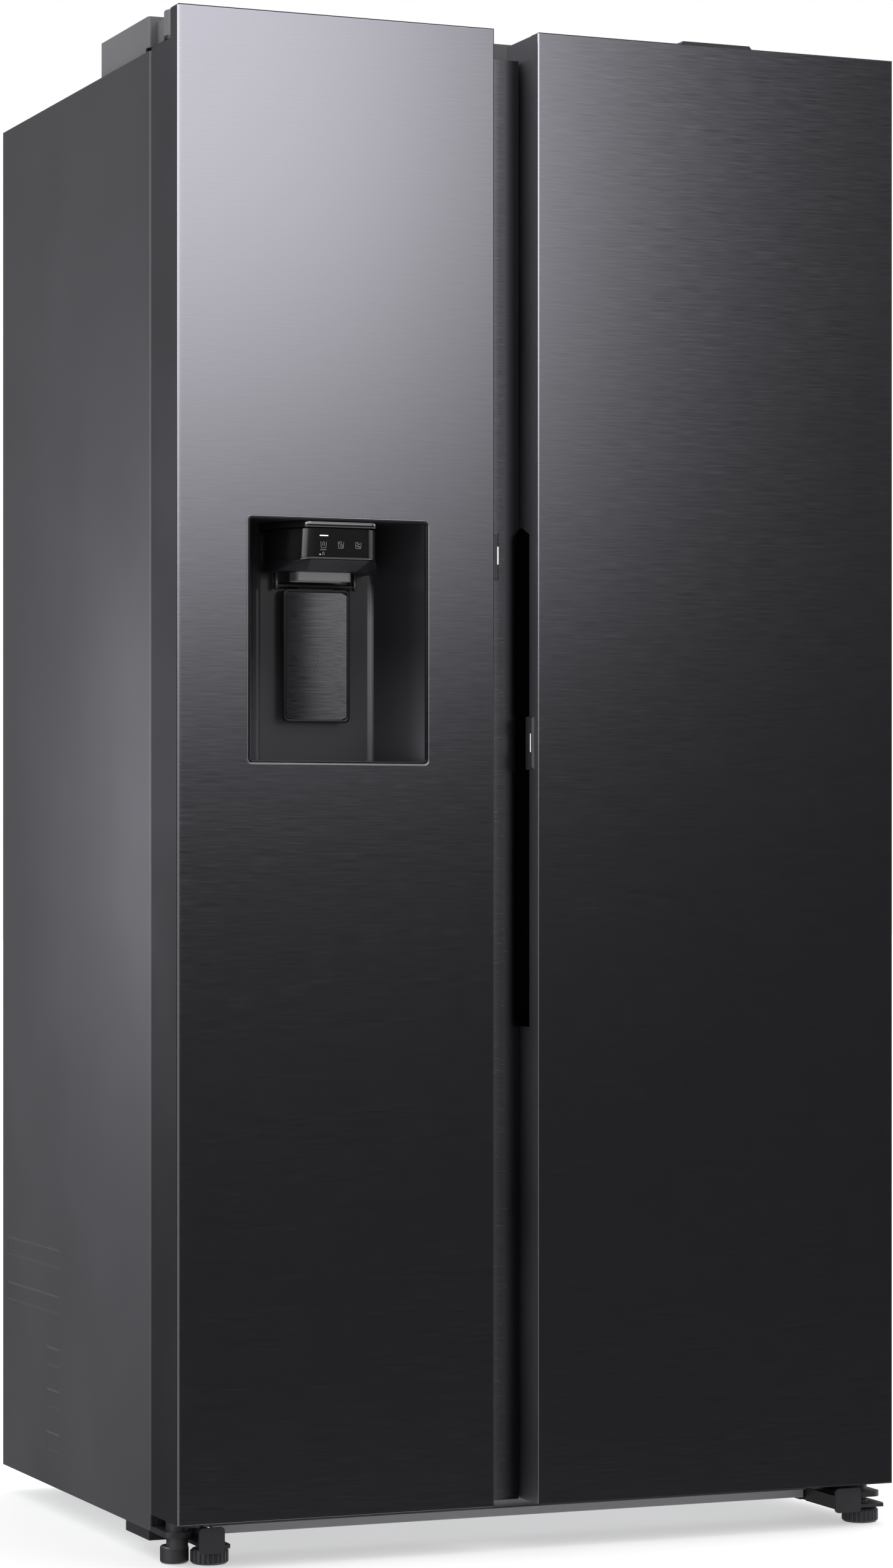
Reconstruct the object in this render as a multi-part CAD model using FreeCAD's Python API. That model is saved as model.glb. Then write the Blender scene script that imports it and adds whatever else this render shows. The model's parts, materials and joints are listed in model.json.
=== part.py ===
import FreeCAD, Part
import math
import os

# Side-by-side refrigerator-freezer with an ice and water dispenser in the freezer door.
# Millimetres, +Z up, +X to the right, the doors face -Y.
# The origin is on the floor under the middle of the bounding box.

V = FreeCAD.Vector
UP = V(0, 0, 1)
RIGHT = V(1, 0, 0)
BACK = V(0, 1, 0)

# Overall size
WIDTH = 912.0
HEIGHT = 1780.0
DEPTH = 716.0
HALF = WIDTH / 2
FRONT = -DEPTH / 2

# Case
SHEET = 2.0
CASE_FRONT = 100.0
CASE_BACK = 692.0
CASE_BOTTOM = 32.0
CASE_TOP = 1734.5
FLANGE = 42.0
INSIDE = HALF - FLANGE - 3
ROOM_BOTTOM = 94.0
ROOM_TOP = 1688.0
ROOM_BACK = 648.0
STEP_FRONT = 545.0
STEP_TOP = 310.0
MULLION_LEFT = -48.0
MULLION_RIGHT = 18.0
LINER = 2.0

# Doors
DOOR_BOTTOM = 50.0
DOOR_TOP = 1771.0
DOOR_BACK = 93.5
SLAB = 24.5
SKIN = 1.2
SLAB_EDGE = -67.5
STRIP_EDGE = -15.5
STRIP_FRONT = 48.0
STRIP_TOP = 1745.0
RIGHT_DOOR_EDGE = -12.0
BODY_TOP = 1742.0
NOTCH_TOP = 1736.0
NOTCH_WIDTH = 76.0
LINER_BACK = 96.0
DIKE_BACK = 140.0
SEAL_BACK = CASE_FRONT - 0.4

# Hinges
HINGE_X = 437.0
HINGE_DEPTH = 57.0
PIN_R = 6.0
PIN_GAP = 0.05
HINGE_PLATE = 4.0
NOSE_R = 15.0
UPPER_PLATE_BOTTOM = 1740.0
LOWER_ARM = (31.0, 37.5)
PIN_REACH = 26.0
PLATE_OUTER = HINGE_X + 7.0
PLATE_INNER = HINGE_X - NOSE_R - 14.0
PLATE_BACK = 190.0
PLATE_CORNER_R = 13.0
PAD_FRONT = 140.0
BOLT_X = HINGE_X - 8.0
BOLT_R = 6.5
BOLT_HEIGHT = 5.0
BOLT_DEPTHS = (145.0, 173.0)
RIGHT_ARM_FRONT = 24.0
ARM_CORNER_R = 12.0
WEB_THICK = 4.0
WEB_RISE = 12.0
WEB_SCREW_X = 445.5
WEB_SCREW_RISE = 5.0
WEB_SCREW_R = 4.5
WEB_SCREW_HEAD = 2.0
CAM_R = 13.0

# Dispenser
DISP_X = -261.0
DISP_HALF = 111.7
DISP_BOTTOM = 913.0
DISP_TOP = 1196.0
RIM = 4.0
RECESS_BACK = 88.0
RECESS_BACK_HALF = 74.0
TUB_WALL = 2.0
LEVER_HALF = 41.0
LEVER_BOTTOM = 963.0
LEVER_TOP = 1118.0
LEVER_FRONT = 71.0
LEVER_THICK = 5.0
LEVER_AXIS_DEPTH = 78.0
LEVER_AXIS_Z = 1122.0
LEVER_ROUND = 4.0
LEVER_WEB_HALF = 22.0
ROD_R = 3.0
ROD_HALF = LEVER_HALF + 10.0
EAR_HALF = 3.0
EAR_REACH = 6.0
FACE_HALF = 44.0
FACE_DEPTH = 3.0
FACE_LOW = 1149.0
LEDGE_DEPTH = 2.0
LEDGE_HEIGHT = 8.0
HOUSING_HALF = 65.0
HOUSING_LOW = 1136.0
HOUSING_DEPTH = (45.0, 84.0)
CHUTE_HALF = 34.0
CHUTE_BOTTOM = 1126.0
CHUTE_TOP = 1262.0
CHUTE_WALL = 2.5
CHUTE_DEPTH = (46.0, 76.0)
CHUTE_ROUND = 6.0
CHUTE_NECK = 66.0
FLAP_DEPTH = (88.0, 90.0)
FLAP_AXLE_R = 1.8
FLAP_AXLE_DEPTH = 87.5

# Right door's grip and the two touch sensors
GRIP_BOTTOM = 609.0
GRIP_TOP = 1186.0
GRIP_FRONT = 25.0
GRIP_BACK = 72.0
GRIP_REACH = 32.0
CHANNEL_REACH = 28.0

# Interior fittings
FITTING_FRONT = 215.0
SHELF_BACK = 585.0
GLASS = 4.0
BIN_BACK = 196.0
DRAWER_WALL = 2.5
LOWER_DRAWER_Z = (100.0, 292.0)
UPPER_DRAWER_Z = (318.0, 500.0)
LOWER_DRAWER_BACK = 536.0
UPPER_DRAWER_BACK = 578.0
SHELF_BASE_Z = 512.0

# Feet and rollers
KNOB_R = 22.0
KNOB_H = 17.0
STUD_R = 5.0
LEFT_STUD = (-402.0, 46.0)
RIGHT_STUD = (433.5, 41.0)
LEG_LEVEL = 20.0
LEG_THICK = 4.0
LEG_PLATE_DEPTH = (12.0, 16.0)
LEG_PLATE_Z = (15.5, 45.0)
LEG_RIB = 3.0
LEG_RIB_TOP = 36.0
LEG_RAIL_LENGTH = 90.0
LEG_RAIL_WIDTH = 12.0
LEG_FOOT_LENGTH = 20.0
LEG_FOOT_INNER = 384.0
KNOB_CHAMFER = 2.5
KNOB_RIBS = 24
KNOB_NOTCH_R = 1.6
STUD_RISE = 13.5
SHOE_R = 16.5
SHOE_H = 20.0
SHOE_ROUND = 3.0
NECK_R = 12.5
NECK_BOTTOM = 17.0
ROLLER_R = 20.0
ROLLER_W = 22.0
ROLLER_X = 345.0
ROLLER_DEPTH = 640.0
AXLE_R = 4.0
FORK_HALF = 24.0
FORK_WALL = 3.0
FORK_BOTTOM = 14.0

# Machine compartment
MACHINE_FRONT = 560.0
MACHINE_TOP = 296.0
MACHINE_FLOOR = CASE_BOTTOM + 3.0
VENT_X = 210.0
VENT_HALF = 120.0
VENT_HEIGHT = 7.0
VENT_PITCH = 18.0
VENT_ROWS = 9
VENT_BOTTOM = 110.0
COMPRESSOR_X = -250.0
COMPRESSOR_DEPTH = 625.0
COMPRESSOR_R = 55.0
COMPRESSOR_H = 100.0
COMPRESSOR_ROUND = 22.0
COMPRESSOR_PLATE = (75.0, 35.0, 6.0)
COMPRESSOR_MOUNT_X = 62.0
COMPRESSOR_MOUNT_R = 9.0
COIL_X = (60.0, 90.0)
COIL_DEPTH = (575.0, 680.0)
COIL_RISE = (14.0, 190.0)
COIL_FINS = 5
COIL_FIN = 2.0
COIL_FIN_PITCH = 8.0
COIL_LEG_DEPTHS = (590.0, 655.0)
PAN_X = (130.0, 330.0)
PAN_DEPTH = (578.0, 682.0)
PAN_HEIGHT = 40.0
SHROUD_X = (-60.0, -45.0)
SHROUD_DEPTH = (570.0, 684.0)
SHROUD_HEIGHT = 160.0
SHROUD_BORE_R = 53.0
MACHINE_FAN_R = 50.0
MACHINE_FAN_X = -53.0
MACHINE_FAN_DEPTH = 627.0
MACHINE_FAN_Z = MACHINE_FLOOR + 84.0
MACHINE_FAN_THICK = 12.0
MOTOR_R = 14.0
MOTOR_LENGTH = 6.0
FAN_BLADES = 7
VALVE_X = (240.0, 290.0)
VALVE_DEPTH = (640.0, 676.0)
VALVE_Z = (205.0, 245.0)
WATER_X = 265.0
WATER_Z = 225.0
WATER_R = 9.5
WATER_BORE_R = 6.0
WATER_HOLE_R = 12.0
WATER_LENGTH = 34.0
WATER_BORE_DEPTH = 20.0
INLET_X = -380.0
INLET_HALF = 16.0
INLET_Z = (200.0, 226.0)
INLET_DEPTH = 10.0
INLET_WALL = 4.0
INLET_PINS = ((-7.0, 210.0), (0.0, 214.0), (7.0, 210.0))

NODES = {}


def node(name, *solids):
    """Keeps one named sub-part made of one or more separate solids."""
    NODES[name] = solids[0] if len(solids) == 1 else Part.makeCompound(list(solids))


def block(x0, x1, d0, d1, z0, z1):
    """A box between two x, two depths behind the door fronts, and two heights."""
    return Part.makeBox(x1 - x0, d1 - d0, z1 - z0, V(x0, FRONT + d0, z0))


def rounded_block(x0, x1, d0, d1, z0, z1, radius):
    """A block whose upright edges are rounded."""
    shape = block(x0, x1, d0, d1, z0, z1)
    upright = [e for e in shape.Edges if abs(e.tangentAt(e.FirstParameter).z) > 0.9]
    return shape.makeFillet(radius, upright)


def panel(x0, x1, z0, z1, d0, d1, radius):
    """A plate facing the front, with rounded corners."""
    shape = block(x0, x1, d0, d1, z0, z1)
    along = [e for e in shape.Edges if abs(e.tangentAt(e.FirstParameter).y) > 0.9]
    return shape.makeFillet(radius, along)


def disc(x, d, z, radius, length, direction):
    """A round bar from a point along a direction."""
    return Part.makeCylinder(radius, length, V(x, FRONT + d, z), direction)


def mirrored(shape):
    return shape.mirror(V(0, 0, 0), RIGHT)


def frustum(near, far):
    """A ruled solid between two rectangles (x0, x1, z0, z1, depth)."""
    wires = []
    for x0, x1, z0, z1, d in (near, far):
        y = FRONT + d
        points = [V(x0, y, z0), V(x1, y, z0), V(x1, y, z1), V(x0, y, z1), V(x0, y, z0)]
        wires.append(Part.makePolygon(points))
    return Part.makeLoft(wires, True, True)


def tray(x0, x1, d0, d1, z0, z1, wall):
    """An open-topped box, such as a drawer or a door bin."""
    hollow = block(x0 + wall, x1 - wall, d0 + wall, d1 - wall, z0 + wall, z1 + 1)
    return block(x0, x1, d0, d1, z0, z1).cut(hollow)


def ring(x0, x1, z0, z1, d0, d1, width, radius):
    """A flat rectangular frame facing the front."""
    inner = panel(x0 + width, x1 - width, z0 + width, z1 - width, d0 - 1, d1 + 1, radius)
    return panel(x0, x1, z0, z1, d0, d1, radius + width).cut(inner)


def fan(x, d, z, radius, thick, blades):
    """A hub with flat blades set at an angle, turning about the depth axis."""
    hub_r = radius * 0.3
    shape = disc(x, d, z, hub_r, thick, BACK)
    blade_thick = 2.0
    blade_width = thick * 1.15
    blade_angle = 38
    for i in range(blades):
        blade = Part.makeBox(radius - hub_r / 2, blade_thick, blade_width)
        blade.translate(V(hub_r / 2, -blade_thick / 2, -blade_width / 2))
        blade.rotate(V(0, 0, 0), RIGHT, blade_angle + 90)
        blade.rotate(V(0, 0, 0), BACK, i * 360 / blades)
        blade.translate(V(x, FRONT + d + thick / 2, z))
        shape = shape.fuse(blade)
    return shape.removeSplitter()


# ---------------------------------------------------------------- case

EMBOSS_DEPTH = 0.8
EMBOSS_SLOPE = 3.0
SLOT_HEIGHTS = (257.0, 314.0)
SQUARE_HEIGHTS = (87.0, 140.0, 192.0)
EMBOSS_BACK = (450.0, 672.0)
SQUARE_BACK = (450.0, 505.0)
EMBOSS_HALF_HEIGHT = 12.0
EMBOSS_ROUND = 6.0
PANEL_ROUND = 4.0
SPACER_X = 300.0
SPACER_HALF = 30.0
SPACER_Z = (1560.0, 1620.0)
SPACER_CHAMFER = 6.0
RAIL_HALF = 383.0
RAIL_FRONT = 92.0
RAIL_Z = (24.5, 34.5)


def emboss(d0, d1, z):
    """A shallow pressed field with sloping borders, cut from the left panel's outside."""
    low, high = z - EMBOSS_HALF_HEIGHT, z + EMBOSS_HALF_HEIGHT
    outer = [(d0, low), (d1, low), (d1, high), (d0, high)]
    inset = EMBOSS_SLOPE
    inner = [(d0 + inset, low + inset), (d1 - inset, low + inset),
             (d1 - inset, high - inset), (d0 + inset, high - inset)]
    wires = []
    for x, corners in ((-HALF, outer), (-HALF + EMBOSS_DEPTH, inner)):
        points = [V(x, FRONT + d, z_) for d, z_ in corners]
        wires.append(Part.makePolygon(points + [points[0]]))
    field = Part.makeLoft(wires, True, True)
    slanted = [e for e in field.Edges if abs(e.tangentAt(e.FirstParameter).x) > 0.05]
    return field.makeFillet(EMBOSS_ROUND, slanted)


def side_panel():
    """The left side sheet with its front return, rounded at the front corner."""
    outer = block(-HALF, -HALF + FLANGE, CASE_FRONT, CASE_BACK, CASE_BOTTOM, CASE_TOP)
    corner = [e for e in outer.Edges if e.BoundBox.XMax < -HALF + 0.1
              and e.BoundBox.YMax < FRONT + CASE_FRONT + 0.1]
    outer = outer.makeFillet(PANEL_ROUND, corner)
    hollow = block(-HALF + SHEET, -HALF + FLANGE + 1, CASE_FRONT + SHEET, CASE_BACK + 1,
                   CASE_BOTTOM - 1, CASE_TOP + 1)
    hollow_corner = [e for e in hollow.Edges if e.BoundBox.XMax < -HALF + SHEET + 0.1
                     and e.BoundBox.YMax < FRONT + CASE_FRONT + SHEET + 0.1]
    shape = outer.cut(hollow.makeFillet(PANEL_ROUND - SHEET, hollow_corner))
    for z in SLOT_HEIGHTS:
        shape = shape.cut(emboss(*EMBOSS_BACK, z))
    for z in SQUARE_HEIGHTS:
        shape = shape.cut(emboss(*SQUARE_BACK, z))
    return shape


def case_nodes():
    left = side_panel()
    node("side_panel_left", left)
    node("side_panel_right", mirrored(left))
    inner = HALF - SHEET
    wide = HALF - FLANGE
    top = block(-inner, inner, CASE_FRONT + SHEET, CASE_BACK, CASE_TOP - SHEET, CASE_TOP)
    top_lip = block(-wide, wide, CASE_FRONT, CASE_FRONT + SHEET, ROOM_TOP + LINER, CASE_TOP)
    right = mirrored(left)
    node("top_panel", top.fuse(top_lip).cut(left).cut(right))
    back = block(-inner, inner, CASE_BACK - SHEET, CASE_BACK, MACHINE_TOP + SHEET, CASE_TOP - SHEET)
    for x in (-SPACER_X, SPACER_X):
        spacer = block(x - SPACER_HALF, x + SPACER_HALF, CASE_BACK - SHEET, DEPTH, *SPACER_Z)
        ends = [e for e in spacer.Edges if e.BoundBox.YMin > FRONT + DEPTH - 1]
        back = back.fuse(spacer.makeChamfer(SPACER_CHAMFER, ends))
    node("back_panel", back)
    base = block(-inner, inner, CASE_FRONT + SHEET, MACHINE_FRONT, CASE_BOTTOM, CASE_BOTTOM + SHEET)
    base = base.fuse(block(-wide, wide, CASE_FRONT, CASE_FRONT + SHEET,
                           CASE_BOTTOM + 3, ROOM_BOTTOM - LINER))
    base = base.fuse(block(-inner, inner, MACHINE_FRONT - SHEET, MACHINE_FRONT,
                           CASE_BOTTOM, MACHINE_TOP))
    base = base.fuse(block(-inner, inner, MACHINE_FRONT - SHEET, CASE_BACK,
                           MACHINE_TOP - SHEET, MACHINE_TOP))
    base = base.fuse(block(-wide, wide, CASE_FRONT, CASE_FRONT + SHEET + 1,
                           CASE_BOTTOM, CASE_BOTTOM + SHEET + 2))
    node("base_plate", base.removeSplitter().cut(left).cut(right))
    node("mullion_strip", block(MULLION_LEFT - LINER, MULLION_RIGHT + LINER, CASE_FRONT,
                                CASE_FRONT + SHEET, ROOM_BOTTOM - LINER, ROOM_TOP + LINER))
    node("front_rail", block(-RAIL_HALF, RAIL_HALF, RAIL_FRONT, CASE_FRONT, *RAIL_Z))


def room(x0, x1, grow):
    """A compartment's space with the step over the machine compartment, grown each way."""
    front = CASE_FRONT if grow == 0 else CASE_FRONT + SHEET
    main = block(x0 - grow, x1 + grow, front, ROOM_BACK + grow, ROOM_BOTTOM - grow, ROOM_TOP + grow)
    step = block(x0 - grow - 1, x1 + grow + 1, STEP_FRONT + grow, ROOM_BACK + grow + 1,
                 ROOM_BOTTOM - grow - 1, STEP_TOP - grow)
    return main.cut(step)


def liner_nodes():
    rooms = {"freezer_liner": (-INSIDE, MULLION_LEFT), "fridge_liner": (MULLION_RIGHT, INSIDE)}
    inner = HALF - SHEET
    foam = block(-inner, inner, CASE_FRONT + SHEET, CASE_BACK - SHEET,
                 CASE_BOTTOM + SHEET, CASE_TOP - SHEET)
    foam = foam.cut(block(-inner - 1, inner + 1, MACHINE_FRONT - SHEET, CASE_BACK,
                          CASE_BOTTOM, MACHINE_TOP))
    relief = PANEL_ROUND
    for side in (-1, 1):
        low, high = sorted((side * inner, side * (inner - relief)))
        foam = foam.cut(block(low, high, CASE_FRONT + SHEET, CASE_FRONT + SHEET + relief,
                              CASE_BOTTOM, CASE_TOP))
    foam = foam.cut(block(-inner, inner, CASE_FRONT + SHEET, CASE_FRONT + SHEET + 1,
                          CASE_BOTTOM, CASE_BOTTOM + SHEET + 2))
    for name, (x0, x1) in rooms.items():
        hollow = room(x0, x1, LINER)
        inside = room(x0, x1, 0)
        node(name, hollow.cut(inside))
        foam = foam.cut(hollow)
    node("insulation_foam", foam.removeSplitter())


# ---------------------------------------------------------------- hinges, covers and feet

def upper_hinge():
    """Left upper hinge: a plate from the case top to a pin that points down into the door."""
    z0 = UPPER_PLATE_BOTTOM
    z1 = z0 + HINGE_PLATE
    plate = block(-PLATE_OUTER, -PLATE_INNER, HINGE_DEPTH, PLATE_BACK, z0, z1)
    nose = disc(-HINGE_X, HINGE_DEPTH, z0, NOSE_R, HINGE_PLATE, UP)
    corner = block(-HINGE_X, -PLATE_INNER, HINGE_DEPTH - NOSE_R, HINGE_DEPTH, z0, z1)
    outer_edge = [e for e in corner.Edges if e.BoundBox.XMin > -PLATE_INNER - 1
                  and e.BoundBox.YMax < FRONT + HINGE_DEPTH - NOSE_R + 1]
    corner = corner.makeFillet(PLATE_CORNER_R, outer_edge)
    pad = block(-PLATE_OUTER, -PLATE_INNER, PAD_FRONT, PLATE_BACK, CASE_TOP, z0)
    pin = disc(-HINGE_X, HINGE_DEPTH, z0 - PIN_REACH, PIN_R, PIN_REACH, UP)
    shape = plate.fuse([nose, corner, pad, pin])
    for depth in BOLT_DEPTHS:
        shape = shape.fuse(disc(-BOLT_X, depth, z1, BOLT_R, BOLT_HEIGHT, UP))
    return shape.removeSplitter()


def hinge_arm(front):
    """Left lower hinge's arm with its web on the case front, closing cam and upward pin."""
    low, high = LOWER_ARM
    x0, x1 = -HALF + 1, -HINGE_X + NOSE_R + 1
    arm = block(x0, x1, front, CASE_FRONT, low, high)
    corners = [e for e in arm.Edges if abs(e.tangentAt(e.FirstParameter).z) > 0.9
               and e.BoundBox.YMax < FRONT + front + 1]
    arm = arm.makeFillet(ARM_CORNER_R, corners)
    web_front = CASE_FRONT - WEB_THICK
    web = block(x0, x1, web_front, CASE_FRONT, high - 1, high + WEB_RISE)
    cam = disc(-HINGE_X, HINGE_DEPTH, high - 1, CAM_R, DOOR_BOTTOM + 0.5 - high, UP)
    pin = disc(-HINGE_X, HINGE_DEPTH, high - 1, PIN_R, PIN_REACH + DOOR_BOTTOM - high, UP)
    screw = disc(-WEB_SCREW_X, web_front, high + WEB_SCREW_RISE, WEB_SCREW_R, WEB_SCREW_HEAD,
                 BACK.negative())
    return arm.fuse([web, cam, pin, screw]).removeSplitter()


def left_lower_hinge():
    """The left hinge also stands on a round shoe under its pin."""
    shoe = disc(-HINGE_X - 1, HINGE_DEPTH + 7, 0, SHOE_R, SHOE_H, UP)
    shoe = shoe.makeFillet(SHOE_ROUND, [e for e in shoe.Edges if e.BoundBox.ZLength < 1])
    neck_height = LOWER_ARM[0] + 1 - NECK_BOTTOM
    neck = disc(-HINGE_X, HINGE_DEPTH, NECK_BOTTOM, NECK_R, neck_height, UP)
    return hinge_arm(HINGE_DEPTH - NOSE_R).fuse([shoe, neck]).removeSplitter()


def leg_bracket(plate_x0, plate_x1, stud, arm_x0, arm_x1, side):
    """A cover plate near the door's front plane, an arm back under the case and a side rail."""
    low, high = LEG_LEVEL, LEG_LEVEL + LEG_THICK
    plate = panel(plate_x0, plate_x1, *LEG_PLATE_Z, *LEG_PLATE_DEPTH, 4.0)
    arm = block(arm_x0, arm_x1, 22.0, CASE_FRONT + LEG_FOOT_LENGTH, low, high)
    plate_back = LEG_PLATE_DEPTH[1] - 1
    rib_x = plate_x1 - LEG_RIB if side < 0 else plate_x0
    rib = block(rib_x, rib_x + LEG_RIB, plate_back, CASE_FRONT - 8, low, LEG_RIB_TOP)
    tie = block(min(plate_x0, arm_x0) + 3, max(plate_x1, arm_x1) - 3, plate_back, plate_back + 8, low, high)
    boss = disc(stud[0], stud[1], low, STUD_R + 4, 7.0, UP)
    edge = HALF - 1
    rail_front = CASE_FRONT + 4
    rail_x = sorted((side * edge, side * (edge - LEG_RAIL_WIDTH)))
    rail = block(*rail_x, rail_front, CASE_FRONT + LEG_RAIL_LENGTH, low, CASE_BOTTOM)
    foot_x = sorted((side * edge, side * LEG_FOOT_INNER))
    foot = block(*foot_x, rail_front, CASE_FRONT + LEG_FOOT_LENGTH, low, CASE_BOTTOM)
    shape = plate.fuse([arm, rib, tie, boss, rail, foot])
    return shape.cut(disc(*stud, 0, STUD_R + PIN_GAP, 60, UP)).removeSplitter()


def levelling_foot(stud):
    """A ribbed knob on a stud that screws through the leg bracket."""
    x, depth = stud
    knob = disc(x, depth, 0, KNOB_R, KNOB_H, UP)
    knob = knob.makeChamfer(KNOB_CHAMFER, knob.Edges)
    for i in range(KNOB_RIBS):
        angle = 2 * math.pi * i / KNOB_RIBS
        notch_x = x + KNOB_R * math.cos(angle)
        notch_depth = depth + KNOB_R * math.sin(angle)
        knob = knob.cut(disc(notch_x, notch_depth, KNOB_CHAMFER, KNOB_NOTCH_R, KNOB_H + 2, UP))
    return knob.fuse(disc(x, depth, KNOB_H - 1, STUD_R, STUD_RISE, UP)).removeSplitter()


COVER_FRONT = 127.0
COVER_BACK = 308.0
COVER_X = 448.0
COVER_WALL = 2.5
COVER_ROUND = 3.5
TONGUE_TOP = 1774.0
NOSE_WALL = 2.5


def top_cover():
    """The full-width cover on the case top, over both hinge plates and the wiring."""
    z0 = CASE_TOP
    shape = rounded_block(-COVER_X, COVER_X, COVER_FRONT, COVER_BACK, z0, HEIGHT, COVER_ROUND)
    hollow = rounded_block(-COVER_X + COVER_WALL, COVER_X - COVER_WALL, COVER_FRONT + COVER_WALL,
                           COVER_BACK - COVER_WALL, z0 - 1, HEIGHT - COVER_WALL,
                           COVER_ROUND - COVER_WALL)
    shape = shape.cut(hollow)
    plate_top = UPPER_PLATE_BOTTOM + HINGE_PLATE
    for side in (-1, 1):
        x = side * HINGE_X
        inner = x - side * (NOSE_R + 8)
        tongue = block(min(x, inner), max(x, inner), HINGE_DEPTH, COVER_FRONT + 1,
                       plate_top, TONGUE_TOP)
        nose = disc(x, HINGE_DEPTH, plate_top, NOSE_R, TONGUE_TOP - plate_top, UP)
        top_edge = [e for e in nose.Edges if e.BoundBox.ZMin > TONGUE_TOP - 1]
        shape = shape.fuse([tongue, nose.makeFillet(NOSE_WALL, top_edge)])
        low, high = sorted((side * (HINGE_X + NOSE_R + 1), side * (HINGE_X - NOSE_R - 15)))
        shape = shape.cut(block(low, high, COVER_FRONT - 1, COVER_FRONT + COVER_WALL + 8,
                                z0 - 1, plate_top))
        shape = shape.cut(disc(x, HINGE_DEPTH, plate_top - 1, NOSE_R - NOSE_WALL, 24.0, UP))
    return shape.removeSplitter()


def support_nodes():
    node("upper_hinges", upper_hinge(), mirrored(upper_hinge()))
    node("lower_hinges", left_lower_hinge(), mirrored(hinge_arm(RIGHT_ARM_FRONT)))
    left_leg = leg_bracket(-425.5, -395.0, LEFT_STUD, -418.0, -385.0, -1)
    right_leg = leg_bracket(386.0, 420.0, RIGHT_STUD, 388.0, HALF - 1, 1)
    node("leg_brackets", left_leg, right_leg)
    node("levelling_foot_left", levelling_foot(LEFT_STUD))
    node("levelling_foot_right", levelling_foot(RIGHT_STUD))
    node("top_cover", top_cover())
    brackets = []
    for side in (-1, 1):
        x = side * ROLLER_X
        half = ROLLER_W / 2
        slot = half + 1
        outer = slot + FORK_WALL
        fork = block(x - outer, x + outer, ROLLER_DEPTH - FORK_HALF, ROLLER_DEPTH + FORK_HALF,
                     FORK_BOTTOM, CASE_BOTTOM)
        fork = fork.cut(block(x - slot, x + slot, ROLLER_DEPTH - FORK_HALF + 1, ROLLER_DEPTH + FORK_HALF + 1,
                              FORK_BOTTOM - 1, CASE_BOTTOM + 1))
        axle = disc(x - outer, ROLLER_DEPTH, ROLLER_R, AXLE_R, 2 * outer, RIGHT)
        brackets.append(fork.fuse(axle).removeSplitter())
        wheel = disc(x - half, ROLLER_DEPTH, ROLLER_R, ROLLER_R, ROLLER_W, RIGHT)
        wheel = wheel.makeChamfer(1.5, wheel.Edges)
        wheel = wheel.cut(disc(x - slot, ROLLER_DEPTH, ROLLER_R, AXLE_R + PIN_GAP, 2 * slot, RIGHT))
        name = "roller_left" if side < 0 else "roller_right"
        node(name, wheel)
    node("roller_brackets", *brackets)


# ---------------------------------------------------------------- machine compartment

def compressor():
    """A sealed pump on a plate with two rubber mounts."""
    half_x, half_depth, thick = COMPRESSOR_PLATE
    plate_z = MACHINE_FLOOR + thick
    dome = disc(COMPRESSOR_X, COMPRESSOR_DEPTH, plate_z + thick, COMPRESSOR_R, COMPRESSOR_H, UP)
    crown = [e for e in dome.Edges if e.BoundBox.ZMin > MACHINE_FLOOR + COMPRESSOR_H]
    dome = dome.makeFillet(COMPRESSOR_ROUND, crown)
    plate = block(COMPRESSOR_X - half_x, COMPRESSOR_X + half_x, COMPRESSOR_DEPTH - half_depth,
                  COMPRESSOR_DEPTH + half_depth, plate_z, plate_z + thick)
    mounts = [disc(COMPRESSOR_X + dx, COMPRESSOR_DEPTH, MACHINE_FLOOR, COMPRESSOR_MOUNT_R, thick, UP)
              for dx in (-COMPRESSOR_MOUNT_X, COMPRESSOR_MOUNT_X)]
    return dome.fuse([plate] + mounts).removeSplitter()


def condenser_coil():
    """A finned block on two legs."""
    x0, x1 = COIL_X
    d0, d1 = COIL_DEPTH
    z0, z1 = MACHINE_FLOOR + COIL_RISE[0], MACHINE_FLOOR + COIL_RISE[1]
    coil = block(x0, x1, d0, d1, z0, z1)
    parts = []
    for i in range(COIL_FINS):
        x = x0 - COIL_FIN + i * COIL_FIN_PITCH
        parts.append(block(x, x + COIL_FIN, d0 - 3, d1 + 2, z0 - 4, z1 + 4))
    for depth in COIL_LEG_DEPTHS:
        parts.append(block(x0 + 4, x1 - 4, depth, depth + 10, MACHINE_FLOOR, z0 + 2))
    return coil.fuse(parts).removeSplitter()


def fan_shroud():
    """The upright plate that carries the condenser fan's motor in its round opening."""
    x0, x1 = SHROUD_X
    shroud = block(x0, x1, *SHROUD_DEPTH, MACHINE_FLOOR, MACHINE_FLOOR + SHROUD_HEIGHT)
    shroud = shroud.cut(disc(x0 - 10, MACHINE_FAN_DEPTH, MACHINE_FAN_Z, SHROUD_BORE_R, 40, RIGHT))
    spider = block(x0, x0 + 3, SHROUD_DEPTH[0] + 2, SHROUD_DEPTH[1] - 2, MACHINE_FAN_Z - 4, MACHINE_FAN_Z + 4)
    motor = disc(x0, MACHINE_FAN_DEPTH, MACHINE_FAN_Z, MOTOR_R, MOTOR_LENGTH, RIGHT)
    return shroud.fuse([spider, motor]).removeSplitter()


def machine_fan():
    """The condenser fan, turned to blow along X."""
    blades = fan(0, 0, 0, MACHINE_FAN_R, MACHINE_FAN_THICK, FAN_BLADES)
    blades.rotate(V(0, FRONT, 0), UP, -90)
    box = blades.BoundBox
    blades.translate(V(MACHINE_FAN_X - box.XMin, FRONT + MACHINE_FAN_DEPTH - box.Center.y, MACHINE_FAN_Z))
    return blades


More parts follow.
